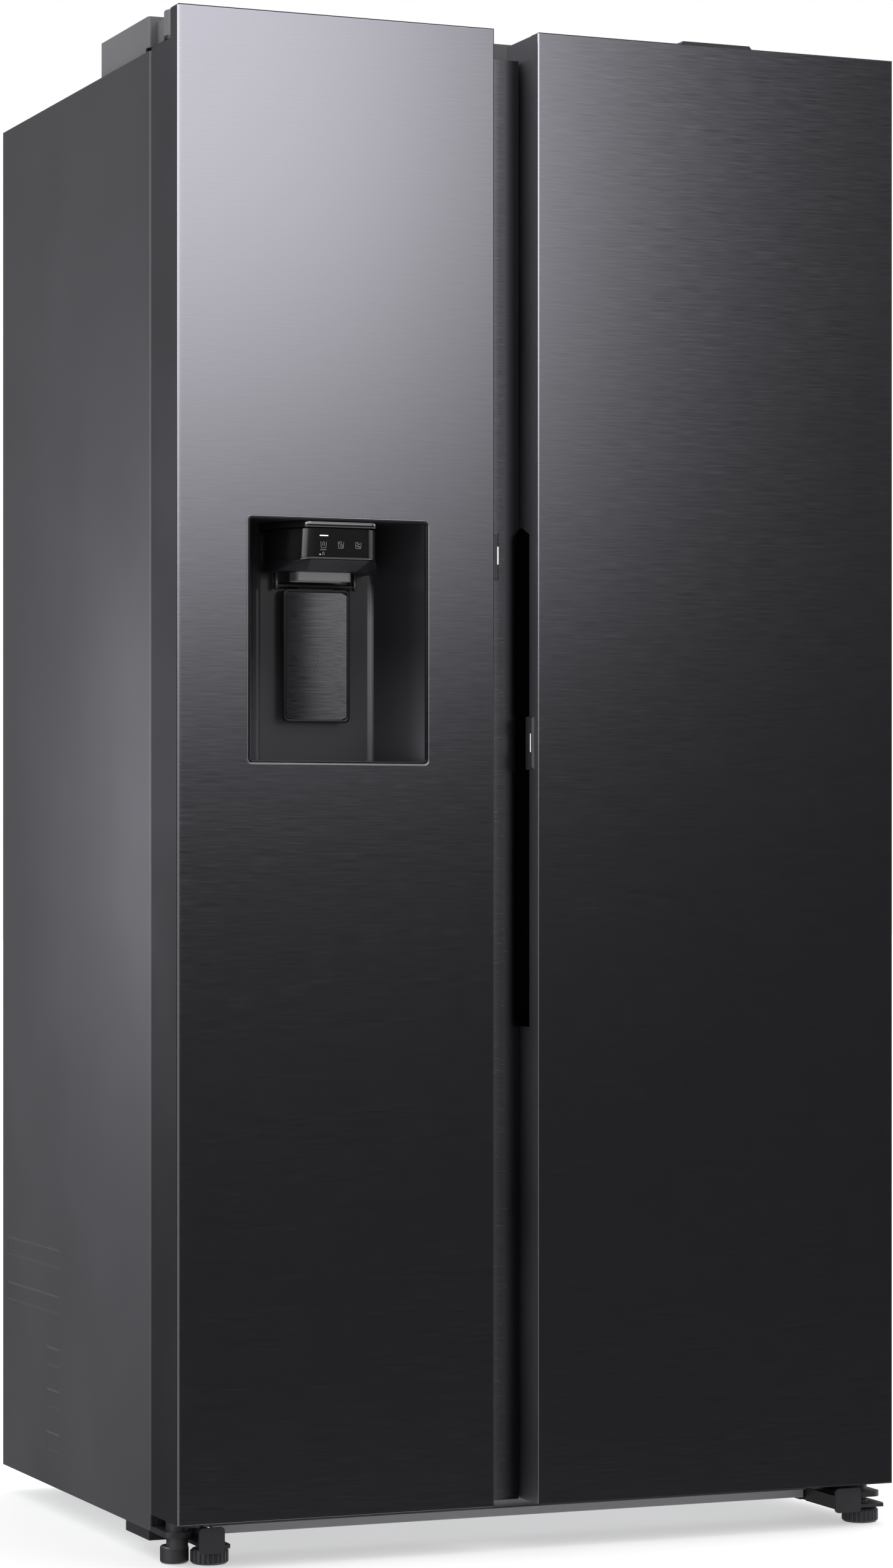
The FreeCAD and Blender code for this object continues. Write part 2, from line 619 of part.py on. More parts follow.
def water_valve():
    """The valve body with its threaded inlet through the rear cover, hung on a bracket."""
    x0, x1 = VALVE_X
    d0, d1 = VALVE_DEPTH
    valve = block(x0, x1, d0, d1, *VALVE_Z)
    inlet = disc(WATER_X, d1, WATER_Z, WATER_R, WATER_LENGTH, BACK)
    bore_front = d1 + WATER_LENGTH - WATER_BORE_DEPTH
    inlet = inlet.cut(disc(WATER_X, bore_front, WATER_Z, WATER_BORE_R, WATER_BORE_DEPTH + 10, BACK))
    bracket = block(x0 - 8, x1 + 8, d0 + 10, d0 + 20, VALVE_Z[1], MACHINE_TOP - SHEET)
    return valve.fuse([inlet, bracket]).removeSplitter()


def power_inlet():
    """The appliance inlet socket with three pins."""
    x0, x1 = INLET_X - INLET_HALF, INLET_X + INLET_HALF
    z0, z1 = INLET_Z
    wall = INLET_WALL
    shell = panel(x0, x1, z0, z1, CASE_BACK, CASE_BACK + INLET_DEPTH, 3.0)
    shell = shell.cut(panel(x0 + wall, x1 - wall, z0 + wall, z1 - wall,
                            CASE_BACK + 2, CASE_BACK + INLET_DEPTH + 1, 2.0))
    pins = [block(INLET_X + dx - 1, INLET_X + dx + 1, CASE_BACK + 1, CASE_BACK + INLET_DEPTH - 2, z, z + 4)
            for dx, z in INLET_PINS]
    return shell.fuse(pins).removeSplitter()


def machine_nodes():
    inner = HALF - SHEET
    floor = block(-inner, inner, MACHINE_FRONT, CASE_BACK - SHEET, CASE_BOTTOM, MACHINE_FLOOR)
    half = ROLLER_W / 2 + FORK_WALL
    for x in (-ROLLER_X, ROLLER_X):
        floor = floor.cut(block(x - half, x + half, ROLLER_DEPTH - FORK_HALF + 2,
                                ROLLER_DEPTH + FORK_HALF - 2, CASE_BOTTOM - 1, MACHINE_FLOOR + 1))
    node("compressor_base", floor)
    cover = block(-inner, inner, CASE_BACK - SHEET, CASE_BACK, CASE_BOTTOM, MACHINE_TOP - SHEET)
    for x in (-VENT_X, VENT_X):
        for row in range(VENT_ROWS):
            z = VENT_BOTTOM + row * VENT_PITCH
            cover = cover.cut(block(x - VENT_HALF, x + VENT_HALF, CASE_BACK - SHEET - 1, CASE_BACK + 1,
                                    z, z + VENT_HEIGHT))
    cover = cover.cut(disc(WATER_X, CASE_BACK - SHEET - 1, WATER_Z, WATER_HOLE_R, SHEET + 2, BACK))
    node("machine_cover", cover)
    node("compressor", compressor())
    node("drain_pan", tray(*PAN_X, *PAN_DEPTH, MACHINE_FLOOR, MACHINE_FLOOR + PAN_HEIGHT, 2.0))
    node("condenser", condenser_coil(), fan_shroud())
    node("condenser_fan", machine_fan())
    node("water_valve", water_valve())
    node("power_inlet", power_inlet())


# ---------------------------------------------------------------- inside the compartments

FREEZER_X = (-INSIDE, MULLION_LEFT)
FRIDGE_X = (MULLION_RIGHT, INSIDE)
FIT = 1.0
EVAPORATOR_BACK = 644.0
COVER_PLATE = 590.0
FREEZER_SHELVES = (SHELF_BASE_Z, 800.0, 1090.0, 1380.0)
FRIDGE_SHELVES = (SHELF_BASE_Z, 760.0, 1000.0, 1240.0, 1480.0)
COLD_FAN_Z = 1530.0
FAN_R = 62.0
GUARD_BAR = 4.0
GUARD_RISES = (-34.0, -12.0, 10.0, 32.0)
RETURN_SLOTS = (330.0, 345.0, 360.0)
RETURN_HALF = 90.0
AIR_SLOT = 6.0
COIL_Z = (400.0, 800.0)
COIL_INSET = 30.0
COIL_FIN_STEP = 24.0
COIL_FIN_COUNT = 13
DUCT_FRONT = 622.0
DUCT_WIDTH_HALF = 80.0
DUCT_HEIGHTS = (540.0, 1640.0)
OUTLET_HALF = 50.0
OUTLET_RISES = (90.0, 104.0)
FRIDGE_FITTING_BACK = 616.0
UPPER_CRISPER_BACK = 612.0
SHELF_TRIM = 12.0
DRAWER_SIDE_GAP = 6.0
DRAWER_LIP = 12.0
MOUTH_INSET = 100.0
MOUTH_DEPTH = 30.0


def shelf(x0, x1, z, back):
    """A glass plate in a plastic front and back trim, resting on the liner's side ledges."""
    plate = block(x0 + FIT, x1 - FIT, FITTING_FRONT, back, z, z + GLASS)
    front = block(x0 + FIT, x1 - FIT, FITTING_FRONT - 4, FITTING_FRONT + SHELF_TRIM,
                  z - 6, z + GLASS + 2)
    rear = block(x0 + FIT, x1 - FIT, back - SHELF_TRIM, back, z - 6, z + GLASS + 8)
    return plate.fuse([front, rear]).removeSplitter()


def drawer(x0, x1, back, z0, z1):
    """A pull-out box with a front lip to hold it by."""
    left, right = x0 + DRAWER_SIDE_GAP, x1 - DRAWER_SIDE_GAP
    wall_back = FITTING_FRONT + DRAWER_WALL
    shape = tray(left, right, FITTING_FRONT, back, z0, z1, DRAWER_WALL)
    lip = block(left, right, FITTING_FRONT - 3, wall_back, z1 - DRAWER_LIP, z1)
    mouth = block(x0 + MOUTH_INSET, x1 - MOUTH_INSET, FITTING_FRONT - 4, wall_back + 1,
                  z1 - MOUTH_DEPTH, z1 + 1)
    return shape.fuse(lip).cut(mouth).removeSplitter()


def interior_nodes():
    x0, x1 = FREEZER_X
    node("freezer_shelves", *[shelf(x0, x1, z, SHELF_BACK) for z in FREEZER_SHELVES])
    node("freezer_drawer_lower", drawer(x0, x1, LOWER_DRAWER_BACK, *LOWER_DRAWER_Z))
    node("freezer_drawer_upper", drawer(x0, x1, UPPER_DRAWER_BACK, *UPPER_DRAWER_Z))
    cover = block(x0 + FIT, x1 - FIT, COVER_PLATE, COVER_PLATE + 3, STEP_TOP + FIT, ROOM_TOP - FIT)
    middle = (x0 + x1) / 2
    cover = cover.cut(disc(middle, COVER_PLATE - 1, COLD_FAN_Z, FAN_R - 6, 6, BACK))
    for z in RETURN_SLOTS:
        cover = cover.cut(block(middle - RETURN_HALF, middle + RETURN_HALF, COVER_PLATE - 1, COVER_PLATE + 5,
                                z, z + AIR_SLOT))
    guard = [block(middle - FAN_R, middle + FAN_R, COVER_PLATE, COVER_PLATE + 3,
                   COLD_FAN_Z + dz, COLD_FAN_Z + dz + GUARD_BAR) for dz in GUARD_RISES]
    node("evaporator_cover", cover.fuse(guard).removeSplitter())
    z0, z1 = COIL_Z
    coil = block(x0 + COIL_INSET, x1 - COIL_INSET, COVER_PLATE + 12, EVAPORATOR_BACK, z0, z1)
    fins = []
    for i in range(COIL_FIN_COUNT):
        x = x0 + COIL_INSET + i * COIL_FIN_STEP
        fins.append(block(x, x + 3, COVER_PLATE + 8, EVAPORATOR_BACK, z0 - 10, z1 + 10))
    node("evaporator", coil.fuse(fins).removeSplitter())
    node("evaporator_fan", fan(middle, COVER_PLATE + 12, COLD_FAN_Z, FAN_R - 8, 20, FAN_BLADES))
    x0, x1 = FRIDGE_X
    middle = (x0 + x1) / 2
    duct = block(middle - DUCT_WIDTH_HALF, middle + DUCT_WIDTH_HALF, DUCT_FRONT, ROOM_BACK, *DUCT_HEIGHTS)
    for z in FRIDGE_SHELVES:
        for dz in OUTLET_RISES:
            duct = duct.cut(block(middle - OUTLET_HALF, middle + OUTLET_HALF, DUCT_FRONT - 1, DUCT_FRONT + 6,
                                  z + dz, z + dz + AIR_SLOT))
    node("air_duct", duct)
    node("fridge_shelves", *[shelf(x0, x1, z, FRIDGE_FITTING_BACK) for z in FRIDGE_SHELVES])
    node("crisper_lower", drawer(x0, x1, LOWER_DRAWER_BACK, *LOWER_DRAWER_Z))
    node("crisper_upper", drawer(x0, x1, UPPER_CRISPER_BACK, *UPPER_DRAWER_Z))


# ---------------------------------------------------------------- freezer door

LEFT_IN = -HALF + SKIN
DUCT_HALF = 31.0
DUCT_Z = (1208.0, 1256.0)
RIM_DEPTH = 4.0
FACE_ROUND = 1.5
OPENING_ROUND = 6.0


def left_panel():
    """The brushed sheet: face, a full-depth return on the hinge side and a short one at the channel."""
    face = panel(-HALF, SLAB_EDGE, DOOR_BOTTOM, DOOR_TOP, 0, SKIN, FACE_ROUND)
    hinge_side = block(-HALF, LEFT_IN, SKIN, SLAB, DOOR_BOTTOM, DOOR_TOP - 2)
    hinge_side = hinge_side.fuse(block(-HALF, LEFT_IN, SLAB, DOOR_BACK - 2, DOOR_BOTTOM, NOTCH_TOP))
    channel_side = block(SLAB_EDGE - SKIN, SLAB_EDGE, SKIN, SLAB, DOOR_BOTTOM + 2, DOOR_TOP - 2)
    shape = face.fuse([hinge_side, channel_side])
    hole = panel(DISP_X - DISP_HALF, DISP_X + DISP_HALF, DISP_BOTTOM, DISP_TOP,
                 -1, SKIN + 1, OPENING_ROUND)
    return shape.cut(hole).removeSplitter()


def recess_space(grow, back):
    """The dispenser's hollow, which narrows towards its back wall, grown each way by the tub's wall."""
    half = DISP_HALF - RIM
    near = (DISP_X - half - grow, DISP_X + half + grow, DISP_BOTTOM + RIM - grow,
            DISP_TOP - RIM + grow, -1.0)
    far = (DISP_X - RECESS_BACK_HALF - grow, DISP_X + RECESS_BACK_HALF + grow,
           DISP_BOTTOM + RIM + 4 - grow, DISP_TOP - RIM + grow, back)
    return frustum(near, far)


def left_core():
    """The foamed door body behind the sheet, with its plastic end faces."""
    slab = block(LEFT_IN, SLAB_EDGE - SKIN, SKIN, SLAB, DOOR_BOTTOM + 1, DOOR_TOP - 1)
    body = block(LEFT_IN, STRIP_EDGE, SLAB, DOOR_BACK, DOOR_BOTTOM + 1, BODY_TOP)
    body = body.cut(block(SLAB_EDGE - CHANNEL_REACH, 0, SLAB - 1, STRIP_FRONT + SKIN,
                          DOOR_BOTTOM, BODY_TOP + 1))
    body = body.cut(block(-HALF, -HALF + NOTCH_WIDTH, SLAB, DOOR_BACK + 1, NOTCH_TOP, BODY_TOP + 1))
    shape = slab.fuse(body)
    shape = shape.cut(recess_space(TUB_WALL, RECESS_BACK + TUB_WALL))
    shape = shape.cut(panel(DISP_X - DISP_HALF, DISP_X + DISP_HALF, DISP_BOTTOM, DISP_TOP,
                            0, RIM_DEPTH, OPENING_ROUND))
    shape = shape.cut(block(DISP_X - CHUTE_HALF - 1, DISP_X + CHUTE_HALF + 1,
                            CHUTE_DEPTH[0] - 2, DOOR_BACK + 1,
                            DISP_TOP - 10, CHUTE_TOP + 1))
    return pin_bores(shape, -HINGE_X).removeSplitter()


def pin_bores(shape, x):
    """Bores the lower and upper hinge pins' running holes in a door body."""
    low = disc(x, HINGE_DEPTH, DOOR_BOTTOM, PIN_R + PIN_GAP, PIN_REACH + 2, UP)
    high = disc(x, HINGE_DEPTH, NOTCH_TOP - PIN_REACH, PIN_R + PIN_GAP, PIN_REACH + 1, UP)
    return shape.cut(low).cut(high)


GASKET_Z = (74.0, 1711.0)
GASKET_WIDTH = 14.0
GASKET_ROUND = 4.0
BIN_WALL = 2.5
DIKE = 18.0
DIKE_ROUND = 4.0
DIKE_TIE = 14.0


def door_liner(x0, x1, dike_x0, dike_x1):
    """Inner door sheet with two upright dikes that hold the bins."""
    shape = block(x0, x1, DOOR_BACK, LINER_BACK, DOOR_BOTTOM + 3, BODY_TOP - 22)
    low, high = ROOM_BOTTOM + 14, ROOM_TOP - 14
    for x in (dike_x0, dike_x1 - DIKE):
        rib = block(x, x + DIKE, LINER_BACK, DIKE_BACK, low, high)
        tips = [e for e in rib.Edges if e.BoundBox.YMin > FRONT + DIKE_BACK - 1]
        shape = shape.fuse(rib.makeFillet(DIKE_ROUND, tips))
    for z in (low, high - DIKE):
        shape = shape.fuse(block(dike_x0 + DIKE, dike_x1 - DIKE, LINER_BACK, LINER_BACK + DIKE_TIE,
                                 z, z + DIKE))
    return shape


def gasket(x0, x1):
    return ring(x0, x1, *GASKET_Z, LINER_BACK, SEAL_BACK, GASKET_WIDTH, GASKET_ROUND)


def door_bin(x0, x1, z, height):
    return tray(x0, x1, LINER_BACK + 0.5, BIN_BACK, z, z + height, BIN_WALL)


LEFT_DIKES = (-398.0, -62.0)
RIGHT_DIKES = (32.0, 398.0)
BIN_INSET = 18.5
FREEZER_BINS = (545.0, 745.0, 945.0, 1560.0)
FRIDGE_BINS = (545.0, 765.0, 985.0, 1205.0, 1425.0)
BIN_HEIGHT = 95.0
BUCKET_Z = (1185.0, 1400.0)
BUCKET_BACK = 200.0
AUGER_Z = 1228.0
AUGER_R = 30.0
AUGER_DEPTH = 148.0
AUGER_SHAFT_R = 5.0
BUCKET_WALL = 3.0
PADDLES = 7
PADDLE_THICK = 4.0
PADDLE_WIDTH = 10.0
PADDLE_INSET = 24.0
MAKER_Z = (1412.0, 1530.0)
MAKER_BACK = 186.0
MOULD_RISE = 38.0


def dispenser_housing():
    """The control housing: a flared face under a ledge, with cheeks beside the ice chute."""
    top = DISP_TOP - RIM
    ledge = top - LEDGE_HEIGHT
    back = HOUSING_DEPTH[0]
    face = (DISP_X - FACE_HALF, DISP_X + FACE_HALF, FACE_LOW, ledge, FACE_DEPTH)
    flare = (DISP_X - HOUSING_HALF, DISP_X + HOUSING_HALF, HOUSING_LOW, ledge, back)
    grow = LEDGE_DEPTH
    ledge_face = (face[0] - grow, face[1] + grow, ledge, top, LEDGE_DEPTH)
    ledge_flare = (flare[0] - grow, flare[1] + grow, ledge, top, back)
    housing = frustum(face, flare).fuse(frustum(ledge_face, ledge_flare))
    for side in (-1, 1):
        low, high = sorted((DISP_X + side * (CHUTE_HALF + 1), DISP_X + side * HOUSING_HALF))
        housing = housing.fuse(block(low, high, *HOUSING_DEPTH, HOUSING_LOW, top))
    housing = housing.removeSplitter()
    ears = []
    for side in (-1, 1):
        x = DISP_X + side * (ROD_HALF - EAR_HALF)
        ear = block(x - EAR_HALF, x + EAR_HALF, LEVER_AXIS_DEPTH - EAR_REACH, RECESS_BACK - 0.2,
                    LEVER_AXIS_Z - EAR_REACH, HOUSING_LOW)
        bore = disc(x - EAR_HALF - 1, LEVER_AXIS_DEPTH, LEVER_AXIS_Z, ROD_R + PIN_GAP, 8, RIGHT)
        ears.append(ear.cut(bore))
    return housing.fuse(ears).removeSplitter()


def ice_chute():
    """The pale duct from the bucket's opening down to the nozzle over the lever."""
    x0, x1 = DISP_X - CHUTE_HALF, DISP_X + CHUTE_HALF
    d0, d1 = CHUTE_DEPTH
    wall = CHUTE_WALL
    chute = rounded_block(x0, x1, d0, d1, CHUTE_BOTTOM, CHUTE_TOP, CHUTE_ROUND)
    chute = chute.fuse(block(x0, x1, CHUTE_NECK, DOOR_BACK, DUCT_Z[0] - 8, CHUTE_TOP))
    chute = chute.cut(block(x0 + wall, x1 - wall, d0 + wall, d1 - wall, CHUTE_BOTTOM - 1, CHUTE_TOP - wall))
    chute = chute.cut(block(x0 + wall, x1 - wall, CHUTE_NECK - 6, DOOR_BACK + 1,
                            DUCT_Z[0] - 5, CHUTE_TOP - wall))
    return chute.removeSplitter()


def dispenser_lever():
    """The paddle with its rod and the web that joins them."""
    paddle = panel(DISP_X - LEVER_HALF, DISP_X + LEVER_HALF, LEVER_BOTTOM, LEVER_TOP,
                   LEVER_FRONT, LEVER_FRONT + LEVER_THICK, LEVER_ROUND)
    rod = disc(DISP_X - ROD_HALF, LEVER_AXIS_DEPTH, LEVER_AXIS_Z, ROD_R, 2 * ROD_HALF, RIGHT)
    web = block(DISP_X - LEVER_WEB_HALF, DISP_X + LEVER_WEB_HALF, LEVER_FRONT + 1,
                LEVER_AXIS_DEPTH + 2, LEVER_TOP - 12, LEVER_AXIS_Z)
    return paddle.fuse([rod, web]).removeSplitter()


def dispenser_nodes():
    near_x, far_x = DISP_X - DISP_HALF + 0.1, DISP_X + DISP_HALF - 0.1
    node("dispenser_frame", ring(near_x, far_x, DISP_BOTTOM + 0.1, DISP_TOP - 0.1, 0, RIM_DEPTH,
                                 RIM - 0.1, 2.0))
    tub = recess_space(TUB_WALL, RECESS_BACK + TUB_WALL).cut(recess_space(0, RECESS_BACK))
    tub = tub.cut(block(-HALF, 0, -2, RIM_DEPTH, 0, HEIGHT))
    tub = tub.cut(block(DISP_X - CHUTE_HALF - 0.5, DISP_X + CHUTE_HALF + 0.5, CHUTE_DEPTH[0] - 0.5,
                        RECESS_BACK + 5, DISP_TOP - RIM - 1, DISP_TOP + 5))
    node("dispenser_recess", tub)
    node("dispenser_control", dispenser_housing())
    node("ice_chute", ice_chute())
    node("dispenser_lever", dispenser_lever())
    flap_half = DUCT_HALF - 1.5
    hinge_z = DUCT_Z[1] - 3
    flap = block(DISP_X - flap_half, DISP_X + flap_half, *FLAP_DEPTH, DUCT_Z[0] + 2, hinge_z)
    axle = disc(DISP_X - flap_half, FLAP_AXLE_DEPTH, hinge_z, FLAP_AXLE_R, 2 * flap_half, RIGHT)
    node("ice_flap", flap.fuse(axle).removeSplitter())


def ice_nodes():
    x0, x1 = LEFT_DIKES[0] + BIN_INSET + 6, LEFT_DIKES[1] - BIN_INSET - 8
    bucket = tray(x0, x1, LINER_BACK + 0.5, BUCKET_BACK, *BUCKET_Z, BUCKET_WALL)
    bucket = bucket.cut(block(DISP_X - DUCT_HALF, DISP_X + DUCT_HALF, LINER_BACK - 1, LINER_BACK + 6,
                              *DUCT_Z))
    node("ice_bucket", bucket)
    auger_x0, auger_x1 = x0 + BUCKET_WALL + 0.4, x1 - BUCKET_WALL - 0.4
    auger = disc(auger_x0, AUGER_DEPTH, AUGER_Z, AUGER_SHAFT_R, auger_x1 - auger_x0, RIGHT)
    span = auger_x1 - auger_x0 - 2 * PADDLE_INSET
    for i in range(PADDLES):
        paddle = Part.makeBox(PADDLE_THICK, PADDLE_WIDTH, 2 * AUGER_R,
                              V(-PADDLE_THICK / 2, -PADDLE_WIDTH / 2, -AUGER_R))
        paddle.rotate(V(0, 0, 0), RIGHT, 180.0 * i / PADDLES)
        x = auger_x0 + PADDLE_INSET + i * span / (PADDLES - 1)
        paddle.translate(V(x, FRONT + AUGER_DEPTH, AUGER_Z))
        auger = auger.fuse(paddle)
    node("ice_auger", auger.removeSplitter())
    low, high = MAKER_Z
    maker = block(x0, x1, LINER_BACK + 0.5, MAKER_BACK, low, high)
    mould = block(x0 + 30, x1 - 30, LINER_BACK + 20, MAKER_BACK - 16, low - 1, low + MOULD_RISE)
    node("ice_maker", maker.cut(mould))


def freezer_door_nodes():
    node("left_door_panel", left_panel())
    node("left_door_core", left_core())
    strip = panel(SLAB_EDGE - CHANNEL_REACH, STRIP_EDGE, DOOR_BOTTOM + 1, STRIP_TOP,
                  STRIP_FRONT, STRIP_FRONT + SKIN, 0.4)
    strip_side = block(STRIP_EDGE - SKIN, STRIP_EDGE, STRIP_FRONT + SKIN, DOOR_BACK - 2,
                       DOOR_BOTTOM + 1, STRIP_TOP - 1)
    node("channel_strip", strip.fuse(strip_side).removeSplitter())
    NODES["left_door_core"] = NODES["left_door_core"].cut(strip_side)
    liner = door_liner(-HALF + 22, STRIP_EDGE - 3, *LEFT_DIKES)
    liner = liner.cut(block(DISP_X - DUCT_HALF, DISP_X + DUCT_HALF, DOOR_BACK - 1, LINER_BACK + 1,
                            DUCT_Z[0], DUCT_Z[1]))
    node("left_door_liner", liner)
    node("left_door_gasket", gasket(-HALF + 27, STRIP_EDGE - 6))
    node("left_touch_sensor", touch_pad_on_strip())
    x0, x1 = LEFT_DIKES[0] + BIN_INSET, LEFT_DIKES[1] - BIN_INSET
    node("freezer_door_bins", *[door_bin(x0, x1, z, BIN_HEIGHT) for z in FREEZER_BINS])
    dispenser_nodes()
    ice_nodes()


def touch_pad_on_strip():
    """A pad with bevelled ends on the channel strip, facing the front."""
    near = (-61.0, -44.0, 1135.0, 1187.0, STRIP_FRONT - 2.5)
    far = (-63.0, -41.0, 1131.0, 1191.0, STRIP_FRONT)
    return frustum(near, far)


# ---------------------------------------------------------------- fridge door

GRIP_SLOPE_RISE = 9.0
GRIP_SLOPE_DEPTH = 22.0
GRIP_WALL = 1.5
PAD_Z = (910.0, 972.0)


def grip_space(grow):
    """The hand pocket in the fridge door's free side, with a sloping top."""
    x0, x1 = RIGHT_DOOR_EDGE - 1, RIGHT_DOOR_EDGE + GRIP_REACH + grow
    d0, d1 = GRIP_FRONT - grow, GRIP_BACK + grow
    low = GRIP_BOTTOM - grow
    peak = GRIP_TOP + GRIP_SLOPE_RISE + grow
    profile = [(d0, low), (d1, low), (d1, peak), (d0 + GRIP_SLOPE_DEPTH, peak), (d0, GRIP_TOP + grow)]
    points = [V(x0, FRONT + d, z) for d, z in profile]
    face = Part.Face(Part.makePolygon(points + [points[0]]))
    return face.extrude(V(x1 - x0, 0, 0))


def touch_pad_on_grip():
    """A ridged pad that wraps the grip's front lip, with bevelled ends."""
    x = RIGHT_DOOR_EDGE
    low, high = PAD_Z
    profile = [(x, 11.0), (x - 2.5, 12.5), (x - 2.5, 23.0), (x - 0.5, 35.0), (x + 4, 35.0),
               (x + 4, GRIP_FRONT), (x, GRIP_FRONT)]
    points = [V(px, FRONT + d, low) for px, d in profile]
    pad = Part.Face(Part.makePolygon(points + [points[0]])).extrude(V(0, 0, high - low))
    for z in (low, high):
        tool = Part.makeBox(8, 40, 8, V(-4, 0, -4))
        tool.rotate(V(0, 0, 0), BACK, 45)
        tool.translate(V(x - 5.5, FRONT, z))
        pad = pad.cut(tool)
    return pad.removeSplitter()


def fridge_door_nodes():
    x0, x1 = RIGHT_DOOR_EDGE, HALF
    face = panel(x0, x1, DOOR_BOTTOM, DOOR_TOP, 0, SKIN, FACE_ROUND)
    free_side = block(x0, x0 + SKIN, SKIN, DOOR_BACK - 3.5, DOOR_BOTTOM + 1, DOOR_TOP - 1)
    hinge_side = block(x1 - SKIN, x1, SKIN, SLAB, DOOR_BOTTOM, DOOR_TOP - 2)
    hinge_side = hinge_side.fuse(block(x1 - SKIN, x1, SLAB, DOOR_BACK - 2, DOOR_BOTTOM, NOTCH_TOP))
    skin = face.fuse([free_side, hinge_side]).cut(grip_space(0))
    node("right_door_panel", skin.removeSplitter())
    core = block(x0 + SKIN, x1 - SKIN, SKIN, DOOR_BACK, DOOR_BOTTOM + 1, DOOR_TOP - 1)
    core = core.cut(block(x1 - NOTCH_WIDTH, x1 + 1, SLAB, DOOR_BACK + 1, NOTCH_TOP, DOOR_TOP + 1))
    core = core.cut(grip_space(GRIP_WALL))
    node("right_door_core", pin_bores(core, HINGE_X).removeSplitter())
    outer = grip_space(GRIP_WALL).cut(block(x0 - 2, x0 + SKIN, 0, DOOR_BACK, 0, HEIGHT))
    node("grip_pocket", outer.cut(grip_space(0)))
    node("right_door_liner", door_liner(RIGHT_DOOR_EDGE + 3, HALF - 22, *RIGHT_DIKES))
    node("right_door_gasket", gasket(RIGHT_DOOR_EDGE + 6, HALF - 27))
    node("right_touch_sensor", touch_pad_on_grip())
    bx0, bx1 = RIGHT_DIKES[0] + BIN_INSET, RIGHT_DIKES[1] - BIN_INSET
    node("fridge_door_bins", *[door_bin(bx0, bx1, z, BIN_HEIGHT) for z in FRIDGE_BINS])


case_nodes()
liner_nodes()
support_nodes()
machine_nodes()
interior_nodes()
freezer_door_nodes()
fridge_door_nodes()

os.makedirs("parts", exist_ok=True)
for name, shape in NODES.items():
    shape.exportStep("parts/" + name + ".step")
    print(name, len(shape.Solids), shape.isValid())
print(len(NODES), "nodes")
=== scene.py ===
import json
import math

import bmesh
import bpy
from mathutils import Matrix, Vector


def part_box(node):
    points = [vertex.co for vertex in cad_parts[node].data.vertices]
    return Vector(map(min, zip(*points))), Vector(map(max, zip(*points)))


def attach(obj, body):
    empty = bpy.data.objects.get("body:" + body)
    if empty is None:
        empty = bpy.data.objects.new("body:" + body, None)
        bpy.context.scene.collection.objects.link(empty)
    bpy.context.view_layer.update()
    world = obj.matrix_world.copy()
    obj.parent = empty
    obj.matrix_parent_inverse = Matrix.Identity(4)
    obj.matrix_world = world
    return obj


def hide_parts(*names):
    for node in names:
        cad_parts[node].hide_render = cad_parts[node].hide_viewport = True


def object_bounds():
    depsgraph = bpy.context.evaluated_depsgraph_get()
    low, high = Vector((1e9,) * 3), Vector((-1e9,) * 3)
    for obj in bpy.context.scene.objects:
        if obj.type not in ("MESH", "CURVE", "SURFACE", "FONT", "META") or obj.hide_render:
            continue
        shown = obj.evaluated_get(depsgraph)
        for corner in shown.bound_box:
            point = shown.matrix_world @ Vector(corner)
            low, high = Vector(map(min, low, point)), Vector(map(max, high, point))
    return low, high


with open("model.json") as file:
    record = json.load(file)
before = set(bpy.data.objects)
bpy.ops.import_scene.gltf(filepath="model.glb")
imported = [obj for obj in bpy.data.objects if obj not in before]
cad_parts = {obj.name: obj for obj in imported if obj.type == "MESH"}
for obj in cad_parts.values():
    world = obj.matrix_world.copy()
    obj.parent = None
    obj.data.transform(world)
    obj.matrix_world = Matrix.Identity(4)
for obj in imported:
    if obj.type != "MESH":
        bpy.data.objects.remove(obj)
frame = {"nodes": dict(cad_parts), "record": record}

cad_low, cad_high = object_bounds()
MM = 0.001
DOOR_FRONT = round(cad_low[1] / MM, 2)       # Y of the door fronts in mm; depths below count from there
DEGREES = 180 / math.pi
WHITE = (1.0, 1.0, 1.0, 1.0)
SCENE = bpy.context.scene


def pt(x, d, z):
    """A point in metres from x, depth behind the door fronts and height in mm."""
    return Vector((x * MM, (DOOR_FRONT + d) * MM, z * MM))


def mm_box(node):
    """A node's box at rest in mm: its x, depth and z, each as (low, high)."""
    low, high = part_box(node)
    x, y, z = [(round(a / MM, 2), round(b / MM, 2)) for a, b in zip(low, high)]
    return x, (y[0] - DOOR_FRONT, y[1] - DOOR_FRONT), z


